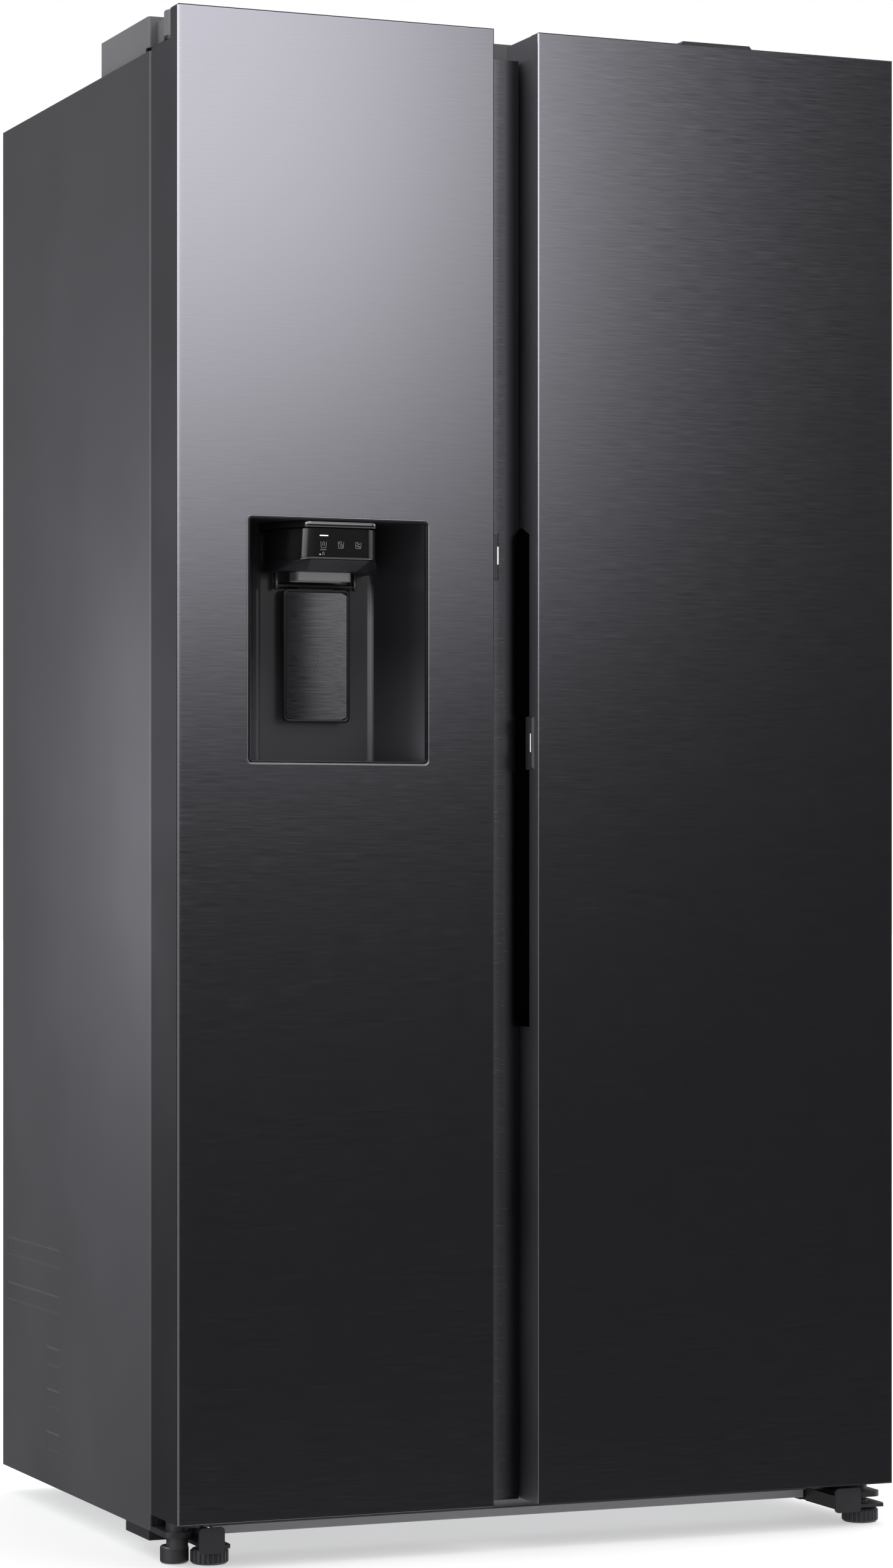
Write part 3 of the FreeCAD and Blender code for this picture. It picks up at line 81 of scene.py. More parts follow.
class Nodes:
    """A short way to wire shader nodes."""

    def __init__(self, tree):
        self.tree = tree
        tree.nodes.clear()

    def add(self, kind, **settings):
        made = self.tree.nodes.new(kind)
        for key, value in settings.items():
            setattr(made, key, value)
        return made

    def link(self, source, target):
        self.tree.links.new(source, target)

    def put(self, value, socket):
        """Sets a socket to a number, or links another socket to it."""
        if isinstance(value, (int, float)):
            socket.default_value = value
        else:
            self.link(value, socket)

    def math(self, operation, a, b=0.0):
        n = self.add("ShaderNodeMath", operation=operation)
        self.put(a, n.inputs[0])
        self.put(b, n.inputs[1])
        return n.outputs[0]

    def ramp(self, value, low, high, to_low=0.0, to_high=1.0, smooth=True):
        n = self.add("ShaderNodeMapRange")
        n.interpolation_type = "SMOOTHSTEP" if smooth else "LINEAR"
        self.link(value, n.inputs["Value"])
        n.inputs["From Min"].default_value = low
        n.inputs["From Max"].default_value = high
        n.inputs["To Min"].default_value = to_low
        n.inputs["To Max"].default_value = to_high
        return n.outputs["Result"]

    def noise(self, place, scale, detail):
        n = self.add("ShaderNodeTexNoise")
        n.inputs["Scale"].default_value = scale
        n.inputs["Detail"].default_value = detail
        self.link(place, n.inputs["Vector"])
        return n.outputs["Fac"]

    def weighed(self, a, b, share):
        """A share of one value and the rest of another."""
        return self.math("ADD", self.math("MULTIPLY", a, share), self.math("MULTIPLY", b, 1 - share))

    def background(self, strength, colour=WHITE):
        n = self.add("ShaderNodeBackground")
        n.inputs["Color"].default_value = colour
        self.put(strength, n.inputs["Strength"])
        return n.outputs[0]

    def either(self, share, without, within):
        n = self.add("ShaderNodeMixShader")
        self.link(share, n.inputs["Fac"])
        self.link(without, n.inputs[1])
        self.link(within, n.inputs[2])
        return n.outputs[0]


# ---------------------------------------------------------------- camera, light and floor

CAMERA_PLACE = (-2.0034, -4.9101, 0.7942)
CAMERA_TURN = -22.396            # degrees about Z, towards +X
FOCAL_LENGTH, SENSOR_WIDTH = 97.615, 36.0
CAMERA_RISE = 0.05365            # upward shift, as a share of the frame's longer side


def make_camera():
    data = bpy.data.cameras.new("camera")
    data.lens = FOCAL_LENGTH
    data.sensor_width = SENSOR_WIDTH
    data.shift_y = CAMERA_RISE
    data.clip_end = 100.0
    cam = bpy.data.objects.new("camera", data)
    cam.location = CAMERA_PLACE
    cam.rotation_euler = (math.radians(90), 0, math.radians(CAMERA_TURN))
    SCENE.collection.objects.link(cam)
    SCENE.camera = cam


# Soft boxes that shiny surfaces reflect: the azimuths in degrees where each one begins, is full, begins to
# fade and ends, then its strength at the horizon and what it gains higher up. Azimuth 0 is in front of the
# doors and 90 is at +X.
SOFT_BOXES = [
    ((-45, -30, 20, 26), 0.0, 2.15),
    ((-118, -96, -48, -32), 0.4, 3.4),
    ((40, 55, 75, 90), 0.35, 2.4),
    ((80, 95, 112, 128), 1.6, 0.0),
]
BOX_RISE = (1.2, 10.3)           # elevations between which the boxes gain their strength
DARK_ROOM = 0.035


def studio_reflections(n, azimuth, elevation):
    """How bright the studio is in reflections, by direction."""
    high = n.ramp(elevation, *BOX_RISE)
    parts = []
    for (start, full, fade, end), base, gain in SOFT_BOXES:
        share = n.math("MULTIPLY", n.ramp(azimuth, start, full), n.ramp(azimuth, fade, end, 1.0, 0.0))
        parts.append(n.math("MULTIPLY", share, n.math("ADD", n.math("MULTIPLY", high, gain), base)))
    behind = n.ramp(n.math("ABSOLUTE", azimuth), 118, 150)
    parts.append(n.math("MULTIPLY", behind, n.ramp(elevation, -10.0, 1.0, 0.015, 0.12)))
    ceiling = n.ramp(elevation, 24.0, 46.0, 0.0, 2.0)
    near_floor = n.ramp(elevation, -11.0, -17.0, 0.0, 0.5)
    strength = DARK_ROOM
    for part in [*parts, ceiling, near_floor]:
        strength = n.math("ADD", part, strength)
    return strength


def studio_light(n, azimuth, elevation):
    """How bright the studio is as plain light: from the left, and from the right half of the front."""
    around = n.math("ADD", n.ramp(azimuth, -92, -60, 1.25, 0.18), n.ramp(azimuth, 0, 40, 0.0, 1.05))
    return n.math("MULTIPLY", n.ramp(elevation, -20.0, 60.0, 0.75, 1.5), around)


def make_world():
    """White behind the object, soft light on it, and a studio of soft boxes in its reflections."""
    world = bpy.data.worlds.new("studio")
    SCENE.world = world
    world.use_nodes = True
    n = Nodes(world.node_tree)
    coords = n.add("ShaderNodeTexCoord")
    split = n.add("ShaderNodeSeparateXYZ")
    n.link(coords.outputs["Generated"], split.inputs[0])
    x, y, z = split.outputs
    elevation = n.math("MULTIPLY", n.math("ARCSINE", z), DEGREES)
    ahead = n.math("MULTIPLY", y, -1.0)
    azimuth = n.math("MULTIPLY", n.math("ARCTAN2", x, ahead), DEGREES)
    shiny = n.background(studio_reflections(n, azimuth, elevation), (1.0, 0.99, 1.025, 1.0))
    soft = n.background(studio_light(n, azimuth, elevation))
    path = n.add("ShaderNodeLightPath")
    lighting = n.either(path.outputs["Is Glossy Ray"], soft, shiny)
    shown = n.either(path.outputs["Is Camera Ray"], lighting, n.background(1.0))
    out = n.add("ShaderNodeOutputWorld")
    n.link(shown, out.inputs["Surface"])


def area_light(name, place, aim, size, power, spread):
    data = bpy.data.lights.new(name, "AREA")
    data.shape = "RECTANGLE"
    data.size, data.size_y = size
    data.energy = power
    data.spread = math.radians(spread)
    lamp = bpy.data.objects.new(name, data)
    lamp.location = place
    lamp.rotation_euler = (Vector(aim) - Vector(place)).to_track_quat("-Z", "Y").to_euler()
    lamp.visible_glossy = False
    SCENE.collection.objects.link(lamp)


FLOOR_REACH, FLOOR_LEVEL = 40.0, -0.0005


def make_floor():
    mesh = bpy.data.meshes.new("floor")
    ends = (-FLOOR_REACH, FLOOR_REACH)
    corners = [(x, y, FLOOR_LEVEL) for x, y in zip(ends + ends[::-1], (ends[0], ends[0], ends[1], ends[1]))]
    mesh.from_pydata(corners, [], [(0, 1, 2, 3)])
    floor = bpy.data.objects.new("floor", mesh)
    SCENE.collection.objects.link(floor)
    mat = bpy.data.materials.new("floor_white")
    mat.use_nodes = True
    n = Nodes(mat.node_tree)
    shade = n.add("ShaderNodeBsdfPrincipled")
    shade.inputs["Base Color"].default_value = (0.55, 0.55, 0.55, 1)
    shade.inputs["Roughness"].default_value = 0.9
    shade.inputs["Emission Color"].default_value = WHITE
    shade.inputs["Emission Strength"].default_value = 0.48
    out = n.add("ShaderNodeOutputMaterial")
    n.link(shade.outputs[0], out.inputs["Surface"])
    mesh.materials.append(mat)
    floor.visible_glossy = False


# ---------------------------------------------------------------- materials

LINE_SCALE = (30.0, 1500.0, 1500.0)          # brushed lines per metre: few along x, many across it
BROAD_LINES = 0.47                           # scale of the second, broader set of lines
CLOUD_SCALE = 6.0
BUMP_HEIGHT = 0.0002


def brushed(n, place, fineness):
    """Lines along x, and those lines mixed with broader ones."""
    sets = []
    for width in (1.0, BROAD_LINES):
        stretch = n.add("ShaderNodeMapping")
        stretch.inputs["Scale"].default_value = [v * fineness * width for v in LINE_SCALE]
        n.link(place, stretch.inputs["Vector"])
        sets.append(n.noise(stretch.outputs[0], 1.0, 1.5))
    return sets[0], n.weighed(sets[0], sets[1], 0.75)


def moulded(n, place, size):
    """A fine grain of a size in mm, and that grain mixed with a soft cloud."""
    grain = n.noise(place, 1000.0 / size, 2.0)
    return grain, n.weighed(grain, n.noise(place, CLOUD_SCALE, 4.0), 0.4)


def faded(n, place, colour, axis, start, end, at_start, at_end, power):
    """Scales a colour along one axis, by a factor that goes from one end's to the other's; this paints shade
    and light into the colour.
    """
    split = n.add("ShaderNodeSeparateXYZ")
    n.link(place, split.inputs[0])
    share = n.math("POWER", n.ramp(split.outputs[axis], start, end, smooth=False), power)
    factor = n.math("ADD", n.math("MULTIPLY", share, at_end - at_start), at_start)
    scaled = n.add("ShaderNodeVectorMath", operation="SCALE")
    n.link(colour, scaled.inputs[0])
    n.link(factor, scaled.inputs["Scale"])
    return scaled.outputs[0]


def material(name, colour, metallic=0.0, roughness=0.5, grain=1.0, brush=0.0, vary=0.12, bump=0.1,
             fade=None, **sockets):
    """A procedural finish: moulded with a grain in mm, or brushed along x with a fineness."""
    mat = bpy.data.materials.new(name)
    mat.use_nodes = True
    n = Nodes(mat.node_tree)
    shader = n.add("ShaderNodeBsdfPrincipled")
    out = n.add("ShaderNodeOutputMaterial")
    n.link(shader.outputs[0], out.inputs["Surface"])
    shader.inputs["Metallic"].default_value = metallic
    shader.inputs["Roughness"].default_value = roughness
    for key, value in sockets.items():
        shader.inputs[key.replace("_", " ")].default_value = value
    place = n.add("ShaderNodeTexCoord").outputs["Object"]
    height, pattern = brushed(n, place, brush) if brush else moulded(n, place, grain)
    tone = n.add("ShaderNodeMix", data_type="RGBA")
    n.link(n.ramp(pattern, 0.3, 0.7, smooth=False), tone.inputs["Factor"])
    tone.inputs[6].default_value = (*[c * (1 - vary) for c in colour], 1)
    tone.inputs[7].default_value = (*[min(1, c * (1 + vary)) for c in colour], 1)
    shown = tone.outputs[2]
    # a fade paints light and shade into the base colour along one axis
    if fade:
        shown = faded(n, place, shown, *fade)
    n.link(shown, shader.inputs["Base Color"])
    n.link(n.ramp(pattern, 0.3, 0.7, roughness * 0.85, min(1.0, roughness * 1.15), smooth=False),
           shader.inputs["Roughness"])
    if bump:
        lift = n.add("ShaderNodeBump")
        lift.inputs["Strength"].default_value = bump
        lift.inputs["Distance"].default_value = BUMP_HEIGHT
        n.link(height, lift.inputs["Height"])
        n.link(lift.outputs[0], shader.inputs["Normal"])
    return mat


# Painted shade and light in base colours, as fades of (axis, from, to in metres, factor at from, factor at
# to, power).
# painted shade along x: the channel strip darkens towards the door gap
STRIP_PAINTED_SHADE = (0, -0.020, -0.053, 0.06, 1.0, 1.5)
# painted shade along z: door sides darken towards the bottom
DOOR_SIDE_PAINTED_SHADE = (2, 0.1, 1.6, 0.35, 1.0, 1.0)
# painted shade and light along z: the dispenser tub is darker at the top and lighter towards the bottom
RECESS_PAINTED_SHADE_AND_LIGHT = (2, 1.06, 0.925, 0.6, 2.3, 1.3)
# painted highlight along z: the bend's highlight strip fades out towards its top
BEND_HIGHLIGHT_FADE = (2, 1.127, 1.085, 0.15, 1.0, 1.0)


def make_materials():
    made = {}

    def put(name, *args, **kw):
        made[name] = material(name, *args, **kw)

    # sheet metal
    put("graphite_steel", (0.298, 0.296, 0.318), 1.0, 0.145, brush=1.0, vary=0.08, bump=0.0)
    # painted shade: the door side's colour darkens towards the bottom
    put("side_steel", (0.105, 0.106, 0.118), 0.8, 0.42, grain=1.6, vary=0.14, bump=0.12, fade=DOOR_SIDE_PAINTED_SHADE)
    put("grip_steel", (0.33, 0.33, 0.355), 0.9, 0.36, grain=1.6, vary=0.06, bump=0.06)
    # painted shade: the strip's colour darkens towards the door gap
    put("strip_steel", (0.37, 0.37, 0.389), 1.0, 0.24, brush=1.0, vary=0.06, bump=0.0, fade=STRIP_PAINTED_SHADE)
    put("lever_steel", (0.175, 0.175, 0.182), 1.0, 0.19, brush=0.7, vary=0.16, bump=0.0)
    put("lever_mark", (0.10, 0.10, 0.105), 1.0, 0.35, brush=1.0, vary=0.1, bump=0.0)
    put("bright_rim", (0.34, 0.34, 0.36), 1.0, 0.2, brush=1.0, vary=0.05, bump=0.02)
    put("zinc_sheet", (0.42, 0.43, 0.44), 0.9, 0.45, grain=6.0, vary=0.12)
    put("coil_aluminium", (0.70, 0.71, 0.72), 1.0, 0.4, grain=3.0)
    # paint
    put("case_paint", (0.050, 0.050, 0.056), 0.0, 0.42, grain=1.2, vary=0.05, bump=0.06)
    put("rail_paint", (0.31, 0.31, 0.33), 0.0, 0.45, grain=1.0, vary=0.06)
    put("black_steel", (0.018, 0.018, 0.020), 0.0, 0.4, grain=0.8, vary=0.15, bump=0.2)
    put("machine_black", (0.025, 0.025, 0.027), 0.0, 0.5, grain=1.0, bump=0.2)
    # dark plastics
    put("cover_plastic", (0.15, 0.15, 0.16), 0.0, 0.5, grain=0.8, vary=0.06, bump=0.15)
    put("door_body", (0.022, 0.022, 0.025), 0.0, 0.45, grain=1.0, vary=0.1, bump=0.15)
    put("black_trim", (0.010, 0.010, 0.012), 0.0, 0.35, grain=0.8, vary=0.1, bump=0.05)
    put("foot_plastic", (0.016, 0.016, 0.018), 0.0, 0.55, grain=0.7, vary=0.15, bump=0.25)
    put("fan_plastic", (0.08, 0.08, 0.085), 0.0, 0.5, grain=1.0)
    put("sensor_plastic", (0.07, 0.07, 0.075), 0.0, 0.35, grain=0.8, vary=0.08)
    put("seal_rubber", (0.20, 0.20, 0.21), 0.0, 0.75, grain=0.8, vary=0.06)
    # dispenser
    put("gloss_black", (0.006, 0.006, 0.0065), 0.0, 0.13, grain=2.5, vary=0.1, bump=0.01)
    put("housing_black", (0.004, 0.004, 0.0045), 0.0, 0.12, grain=2.5, vary=0.1, bump=0.01, IOR=2.2)
    # painted shade and light: the tub's colour is darker at the top and lighter towards the bottom
    put("recess_black", (0.035, 0.035, 0.039), 0.0, 0.2, grain=1.0, vary=0.08, bump=0.08, fade=RECESS_PAINTED_SHADE_AND_LIGHT)
    # painted highlight: a lighter grey for the bright reflection in the tub's back-right bend, fading out
    # towards its top
    put("painted_bend_highlight", (0.18, 0.18, 0.19), 0.0, 0.25, grain=1.0, vary=0.05, bump=0.03, fade=BEND_HIGHLIGHT_FADE)
    put("chin_grey", (0.03, 0.03, 0.033), 0.0, 0.4, grain=1.0, vary=0.05, bump=0.05)
    put("chute_grey", (0.20, 0.20, 0.206), 0.0, 0.35, grain=1.0, vary=0.05, bump=0.03)
    put("icon_grey", (0.14, 0.14, 0.15), 0.0, 0.4, grain=1.0, vary=0.02, bump=0.0,
        Emission_Color=WHITE, Emission_Strength=0.05)
    put("led_white", (0.8, 0.8, 0.8), 0.0, 0.4, grain=1.0, vary=0.02, bump=0.0,
        Emission_Color=WHITE, Emission_Strength=0.75)
    # inside
    put("liner_white", (0.80, 0.81, 0.82), 0.0, 0.35, grain=2.0, vary=0.02, bump=0.05)
    put("pale_plastic", (0.62, 0.62, 0.64), 0.0, 0.4, grain=1.0, vary=0.04)
    put("ice_plastic", (0.80, 0.83, 0.86), 0.0, 0.35, grain=1.5, vary=0.04)
    put("valve_plastic", (0.72, 0.72, 0.70), 0.0, 0.5, grain=1.0)
    put("insulation", (0.8, 0.72, 0.45), 0.0, 0.9, grain=3.0)
    put("shelf_glass", (0.85, 0.93, 0.91), 0.0, 0.05, grain=20.0, vary=0.02, bump=0.0,
        Transmission_Weight=0.9, IOR=1.5)
    put("clear_plastic", (0.90, 0.94, 0.96), 0.0, 0.10, grain=12.0, vary=0.02, bump=0.02,
        Transmission_Weight=0.8, IOR=1.45)
    return made


def finish_cad():
    """Gives each carried-over CAD node the finish of its slot; the ice chute's lip has its own grey."""
    slots = {s["node"]: s["material_slot"] for s in frame["record"]["subparts"]}
    for name, obj in frame["nodes"].items():
        finish = "chute_grey" if name == "ice_chute" else slots[name]
        obj.data.materials.clear()
        obj.data.materials.append(MATERIALS[finish])


# ---------------------------------------------------------------- mesh helpers

SHARP = math.radians(35)
BEVEL_ANGLE = math.radians(40)
CIRCLE = (0, 345, 23)            # start, end and steps of a whole circle whose last point isn't doubled


def arc(cx, cy, radius, start, end, steps=6):
    """Points on an arc, angles in degrees."""
    turns = [math.radians(start + (end - start) * i / steps) for i in range(steps + 1)]
    return [(cx + radius * math.cos(a), cy + radius * math.sin(a)) for a in turns]


def rect(x0, x1, z0, z1):
    return [(x0, z0), (x1, z0), (x1, z1), (x0, z1)]


def round_rect(x0, x1, z0, z1, radius, steps=6):
    """A rounded rectangle as one loop of points."""
    return (arc(x1 - radius, z0 + radius, radius, -90, 0, steps)
            + arc(x1 - radius, z1 - radius, radius, 0, 90, steps)
            + arc(x0 + radius, z1 - radius, radius, 90, 180, steps)
            + arc(x0 + radius, z0 + radius, radius, 180, 270, steps))


def inset_loop(box, inset, radius, steps=8):
    """A rounded rectangle a little inside a box of (x0, x1, z0, z1)."""
    x0, x1, z0, z1 = box
    return round_rect(x0 + inset, x1 - inset, z0 + inset, z1 - inset, radius, steps)


def corner(before, at, after, radius, steps=6):
    """Rounds one corner of a path of (u, v) points."""
    a, b, c = Vector(before), Vector(at), Vector(after)
    u, v = (a - b).normalized(), (c - b).normalized()
    half = u.angle(v) / 2
    reach = radius / math.tan(half)
    centre = b + (u + v).normalized() * radius / math.sin(half)
    start, end = b + u * reach - centre, b + v * reach - centre
    sweep = start.angle_signed(end)
    points = []
    for i in range(steps + 1):
        turned = start.copy()
        turned.rotate(Matrix.Rotation(-sweep * i / steps, 2))
        points.append(tuple(centre + turned))
    return points


def fill_loops(bm, loops, place):
    """Fills a flat outline with holes."""
    edges = []
    for loop in loops:
        verts = [bm.verts.new(place(*p)) for p in loop]
        edges += [bm.edges.new((a, b)) for a, b in zip(verts, verts[1:] + verts[:1])]
    bmesh.ops.triangle_fill(bm, edges=edges, use_beauty=True)


def join_flat(bm):
    """Dissolves the edges between faces that lie in one plane."""
    bmesh.ops.dissolve_limit(bm, angle_limit=0.01, verts=bm.verts, edges=bm.edges)


def ribbon(bm, lows, highs):
    """Adds a strip of faces between two rows of points."""
    low = [bm.verts.new(p) for p in lows]
    high = [bm.verts.new(p) for p in highs]
    for a, b, c, d in zip(low, low[1:], high[1:], high):
        bm.faces.new((a, b, c, d))


def slab(loops, place, start, end):
    """A plate with holes: loops of (u, v), carried from one level to another by place(u, v, level)."""
    bm = bmesh.new()
    fill_loops(bm, loops, lambda u, v: place(u, v, start))
    join_flat(bm)
    made = bmesh.ops.extrude_face_region(bm, geom=list(bm.faces))
    shift = place(0, 0, end) - place(0, 0, start)
    for v in made["geom"]:
        if isinstance(v, bmesh.types.BMVert):
            v.co += shift
    bmesh.ops.recalc_face_normals(bm, faces=bm.faces)
    return bm


def facing(u, v, level):
    """Puts a plate's outline in x and z, and its thickness in depth."""
    return pt(u, level, v)


def lying(u, v, level):
    """Puts a plate's outline in x and depth, and its thickness in height."""
    return pt(u, v, level)


def upright(u, v, level):
    """Puts a plate's outline in depth and z, and its thickness in x."""
    return pt(level, u, v)


def block(x0, x1, d0, d1, z0, z1):
    """A plain box as a bmesh, to be joined with others and softened."""
    return slab([rect(x0, x1, z0, z1)], facing, d0, d1)


def loft(sections):
    """Skins a row of closed sections that have the same number of points, and closes both ends."""
    bm = bmesh.new()
    rings = [[bm.verts.new(p) for p in section] for section in sections]
    count = len(rings[0])
    for a, b in zip(rings, rings[1:]):
        for i in range(count):
            j = (i + 1) % count
            bm.faces.new((a[i], a[j], b[j], b[i]))
    bm.faces.new(list(reversed(rings[0])))
    bm.faces.new(rings[-1])
    bmesh.ops.recalc_face_normals(bm, faces=bm.faces)
    return bm


def join(*meshes):
    """Puts several bmeshes into the first one."""
    first = meshes[0]
    for other in meshes[1:]:
        scratch = bpy.data.meshes.new("scratch")
        other.to_mesh(scratch)
        first.from_mesh(scratch)
        bpy.data.meshes.remove(scratch)
    return first


def add_bevel(obj, width, segments):
    soft = obj.modifiers.new("soft", "BEVEL")
    soft.width = width * MM
    soft.segments = segments
    soft.limit_method = "ANGLE"
    soft.angle_limit = BEVEL_ANGLE


def add_even_normals(obj):
    even = obj.modifiers.new("even", "WEIGHTED_NORMAL")
    even.keep_sharp = True


def smooth_but_crisp(mesh):
    """Shades a mesh smooth, with its open and steep edges kept crisp."""
    work = bmesh.new()
    work.from_mesh(mesh)
    for e in work.edges:
        e.smooth = len(e.link_faces) == 2 and e.calc_face_angle(0.0) < SHARP
    for f in work.faces:
        f.smooth = True
    work.to_mesh(mesh)
    work.free()


def piece(name, bm, finish, body, bevel=0.0, steps=2, thick=0.0, stands_for=()):
    """Makes a shown piece from a bmesh: thickened, bevelled, with crisp edges kept, riding on its body."""
    mesh = bpy.data.meshes.new(name)
    bm.to_mesh(mesh)
    bm.free()
    obj = bpy.data.objects.new(name, mesh)
    SCENE.collection.objects.link(obj)
    if thick:
        shell = obj.modifiers.new("shell", "SOLIDIFY")
        shell.thickness = thick * MM
        shell.offset = -1.0
    if bevel:
        add_bevel(obj, bevel, steps)
    graph = bpy.context.evaluated_depsgraph_get()
    final = bpy.data.meshes.new_from_object(obj.evaluated_get(graph))
    obj.modifiers.clear()
    obj.data = final
    bpy.data.meshes.remove(mesh)
    final.name = name
    smooth_but_crisp(final)
    add_even_normals(obj)
    final.materials.clear()
    final.materials.append(MATERIALS[finish])
    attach(obj, body)
    if stands_for:
        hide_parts(*stands_for)


# ---------------------------------------------------------------- door skins

(LEFT_X0, LEFT_X1), _, (DOOR_LOW, DOOR_HIGH) = mm_box("left_door_panel")
(RIGHT_X0, RIGHT_X1), _, _ = mm_box("right_door_panel")
TRIM = 1.3                       # width of the black edge line
SKIN_LOW, SKIN_HIGH = DOOR_LOW + TRIM, DOOR_HIGH - TRIM
LEFT_BEND, RIGHT_BEND = 4.5, 2.0
SHEET, SIDE_SHEET = 2.4, 1.2
EDGE_ROUND = 1.1
SLAB_DEPTH = 24.5                # the thick front part of a door, in front of its notch
DOOR_BACK = 91.0
NOTCH = 1736.0                   # height of the notch for the upper hinge
GRIP_D, GRIP_Z = (25.0, 72.0), (607.5, 1195.0)
GRIP_SLANT = (22.0, 9.0)         # how far the grip's top edge slants, in depth and height


def side_sheet(x, outline, holes=()):
    """The flat return of a door sheet, facing -X, whose outline is (depth, z)."""
    bm = bmesh.new()
    fill_loops(bm, [outline, *holes], lambda d, z: pt(x, d, z))
    join_flat(bm)
    for f in bm.faces:
        f.normal_update()
        if f.normal.x > 0:
            f.normal_flip()
    return bm


def skin(x_fold, x_far, bend, front_holes=()):
    """A front face with a round bend at x_fold."""
    bm = bmesh.new()
    front = [(x_fold + bend, SKIN_LOW), (x_far, SKIN_LOW), (x_far, SKIN_HIGH), (x_fold + bend, SKIN_HIGH)]
    fill_loops(bm, [front, *front_holes], lambda x, z: pt(x, 0, z))
    turns = [math.pi / 2 * i / 8 for i in range(9)]
    turn = [(x_fold + bend * (1 - math.cos(a)), bend * (1 - math.sin(a))) for a in turns]
    for pair in zip(turn, turn[1:]):
        ribbon(bm, [pt(x, d, SKIN_LOW) for x, d in pair], [pt(x, d, SKIN_HIGH) for x, d in pair])
    bmesh.ops.remove_doubles(bm, verts=bm.verts, dist=1e-6)
    join_flat(bm)
    bmesh.ops.recalc_face_normals(bm, faces=bm.faces)
    if sum(f.normal.y * f.calc_area() for f in bm.faces) > 0:
        bmesh.ops.reverse_faces(bm, faces=bm.faces)
    return bm


def edge_trim(x_fold, x_far):
    """The black plastic edge that shows as a thin line round the top, free side and bottom of a door face."""
    a, b = x_fold + 1.5, x_far - TRIM
    loop = [(a, DOOR_LOW), (x_far, DOOR_LOW), (x_far, DOOR_HIGH), (a, DOOR_HIGH), (a, SKIN_HIGH),
            (b, SKIN_HIGH), (b, SKIN_LOW), (a, SKIN_LOW)]
    return slab([loop], facing, 0.5, SLAB_DEPTH)


def make_left_door():
    body = "freezer_door"
    outline = [(LEFT_BEND, SKIN_LOW), (DOOR_BACK, SKIN_LOW), (DOOR_BACK, NOTCH), (SLAB_DEPTH, NOTCH),
               (SLAB_DEPTH, SKIN_HIGH), (LEFT_BEND, SKIN_HIGH)]
    hole = round_rect(*OPENING, 6.0, 8)
    piece("left_door_skin", skin(LEFT_X0, LEFT_X1 - TRIM, LEFT_BEND, [hole]), "graphite_steel", body,
          thick=SHEET, bevel=EDGE_ROUND, steps=3, stands_for=["left_door_panel"])
    # its finish paints shade that darkens the side towards the bottom
    piece("left_door_side", side_sheet(LEFT_X0, outline), "side_steel", body,
          thick=SIDE_SHEET)
    piece("left_door_edge", edge_trim(LEFT_X0, LEFT_X1), "black_trim", body, bevel=0.35)


def make_right_door():
    body = "fridge_door"
    sides = rect(RIGHT_BEND, DOOR_BACK - 1, SKIN_LOW, SKIN_HIGH)
    near, far = GRIP_D
    low, high = GRIP_Z
    grip = [(near, low), (far, low), (far, high), (near + GRIP_SLANT[0], high), (near, high - GRIP_SLANT[1])]
    piece("right_door_skin", skin(RIGHT_X0, RIGHT_X1 - TRIM, RIGHT_BEND), "graphite_steel", body,
          thick=SHEET, bevel=EDGE_ROUND, steps=3, stands_for=["right_door_panel"])
    piece("right_door_side", side_sheet(RIGHT_X0, sides, [grip]), "grip_steel", body,
          thick=SIDE_SHEET)
    piece("right_door_edge", edge_trim(RIGHT_X0, RIGHT_X1), "black_trim", body, bevel=0.35)
    back = rect(SLAB_DEPTH, DOOR_BACK, SKIN_LOW, NOTCH)
    piece("right_door_return", slab([back], upright, RIGHT_X1 - SIDE_SHEET, RIGHT_X1), "graphite_steel", body,
          bevel=0.3)


STRIP_FLAT_TO = -66.0
STRIP_PROUD = 0.9                # how far the shown sheet stands before the CAD strip
STRIP_DROP = 1.7


def make_strip():
    """The finger channel's front sheet: flat behind the slab, then curving gently back to the door gap."""
    (x0, far), (depth, _), (z0, z1) = mm_box("channel_strip")
    x1, front, steps = far - 0.1, depth - STRIP_PROUD, 14
    line = [(x0, front)]
    for i in range(steps + 1):
        share = i / steps
        line.append((STRIP_FLAT_TO + (x1 - STRIP_FLAT_TO) * share, front + STRIP_DROP * share ** 2))
    line.append((x1, DOOR_BACK - 2))
    bm = bmesh.new()
    ribbon(bm, [pt(x, d, z0) for x, d in line], [pt(x, d, z1) for x, d in line])
    # its finish paints shade that darkens the strip towards the door gap
    piece("channel_sheet", bm, "strip_steel", "freezer_door", thick=0.3,
          stands_for=["channel_strip"])


# ---------------------------------------------------------------- dispenser

OPENING = (-372.7, -149.3, 913.0, 1196.0)    # x and z of the hole in the door's skin
OPENING_ROUND = 5.9
DISP_X = (OPENING[0] + OPENING[1]) / 2
RIM_LINE, GROOVE = 1.1, 2.7
RIM_DEPTH = 4.0
TUB_LOW, TUB_HIGH = 917.0, 1192.0
TUB_FRONT_HALF, TUB_BACK_HALF, TUB_BACK = 107.7, 74.0, 88.0
CHUTE_HOLE = (34.5, 45.5, 77.0)              # half width, and the depths it runs between
FACE_LEFT, FACE_RIGHT = 36.0, 45.5
FLARE_HALF, FLARE_D, HOUSING_BACK = 65.0, 45.0, 84.0
FACE_D, FACE_LOW, FACE_HIGH, CHIN_LOW = 3.0, 1149.0, 1184.0, 1136.0
LEAN_D = 4.7                                 # depth of the leaning face's lower edge
EAR_X, EAR_THICK = 48.5, 3.2


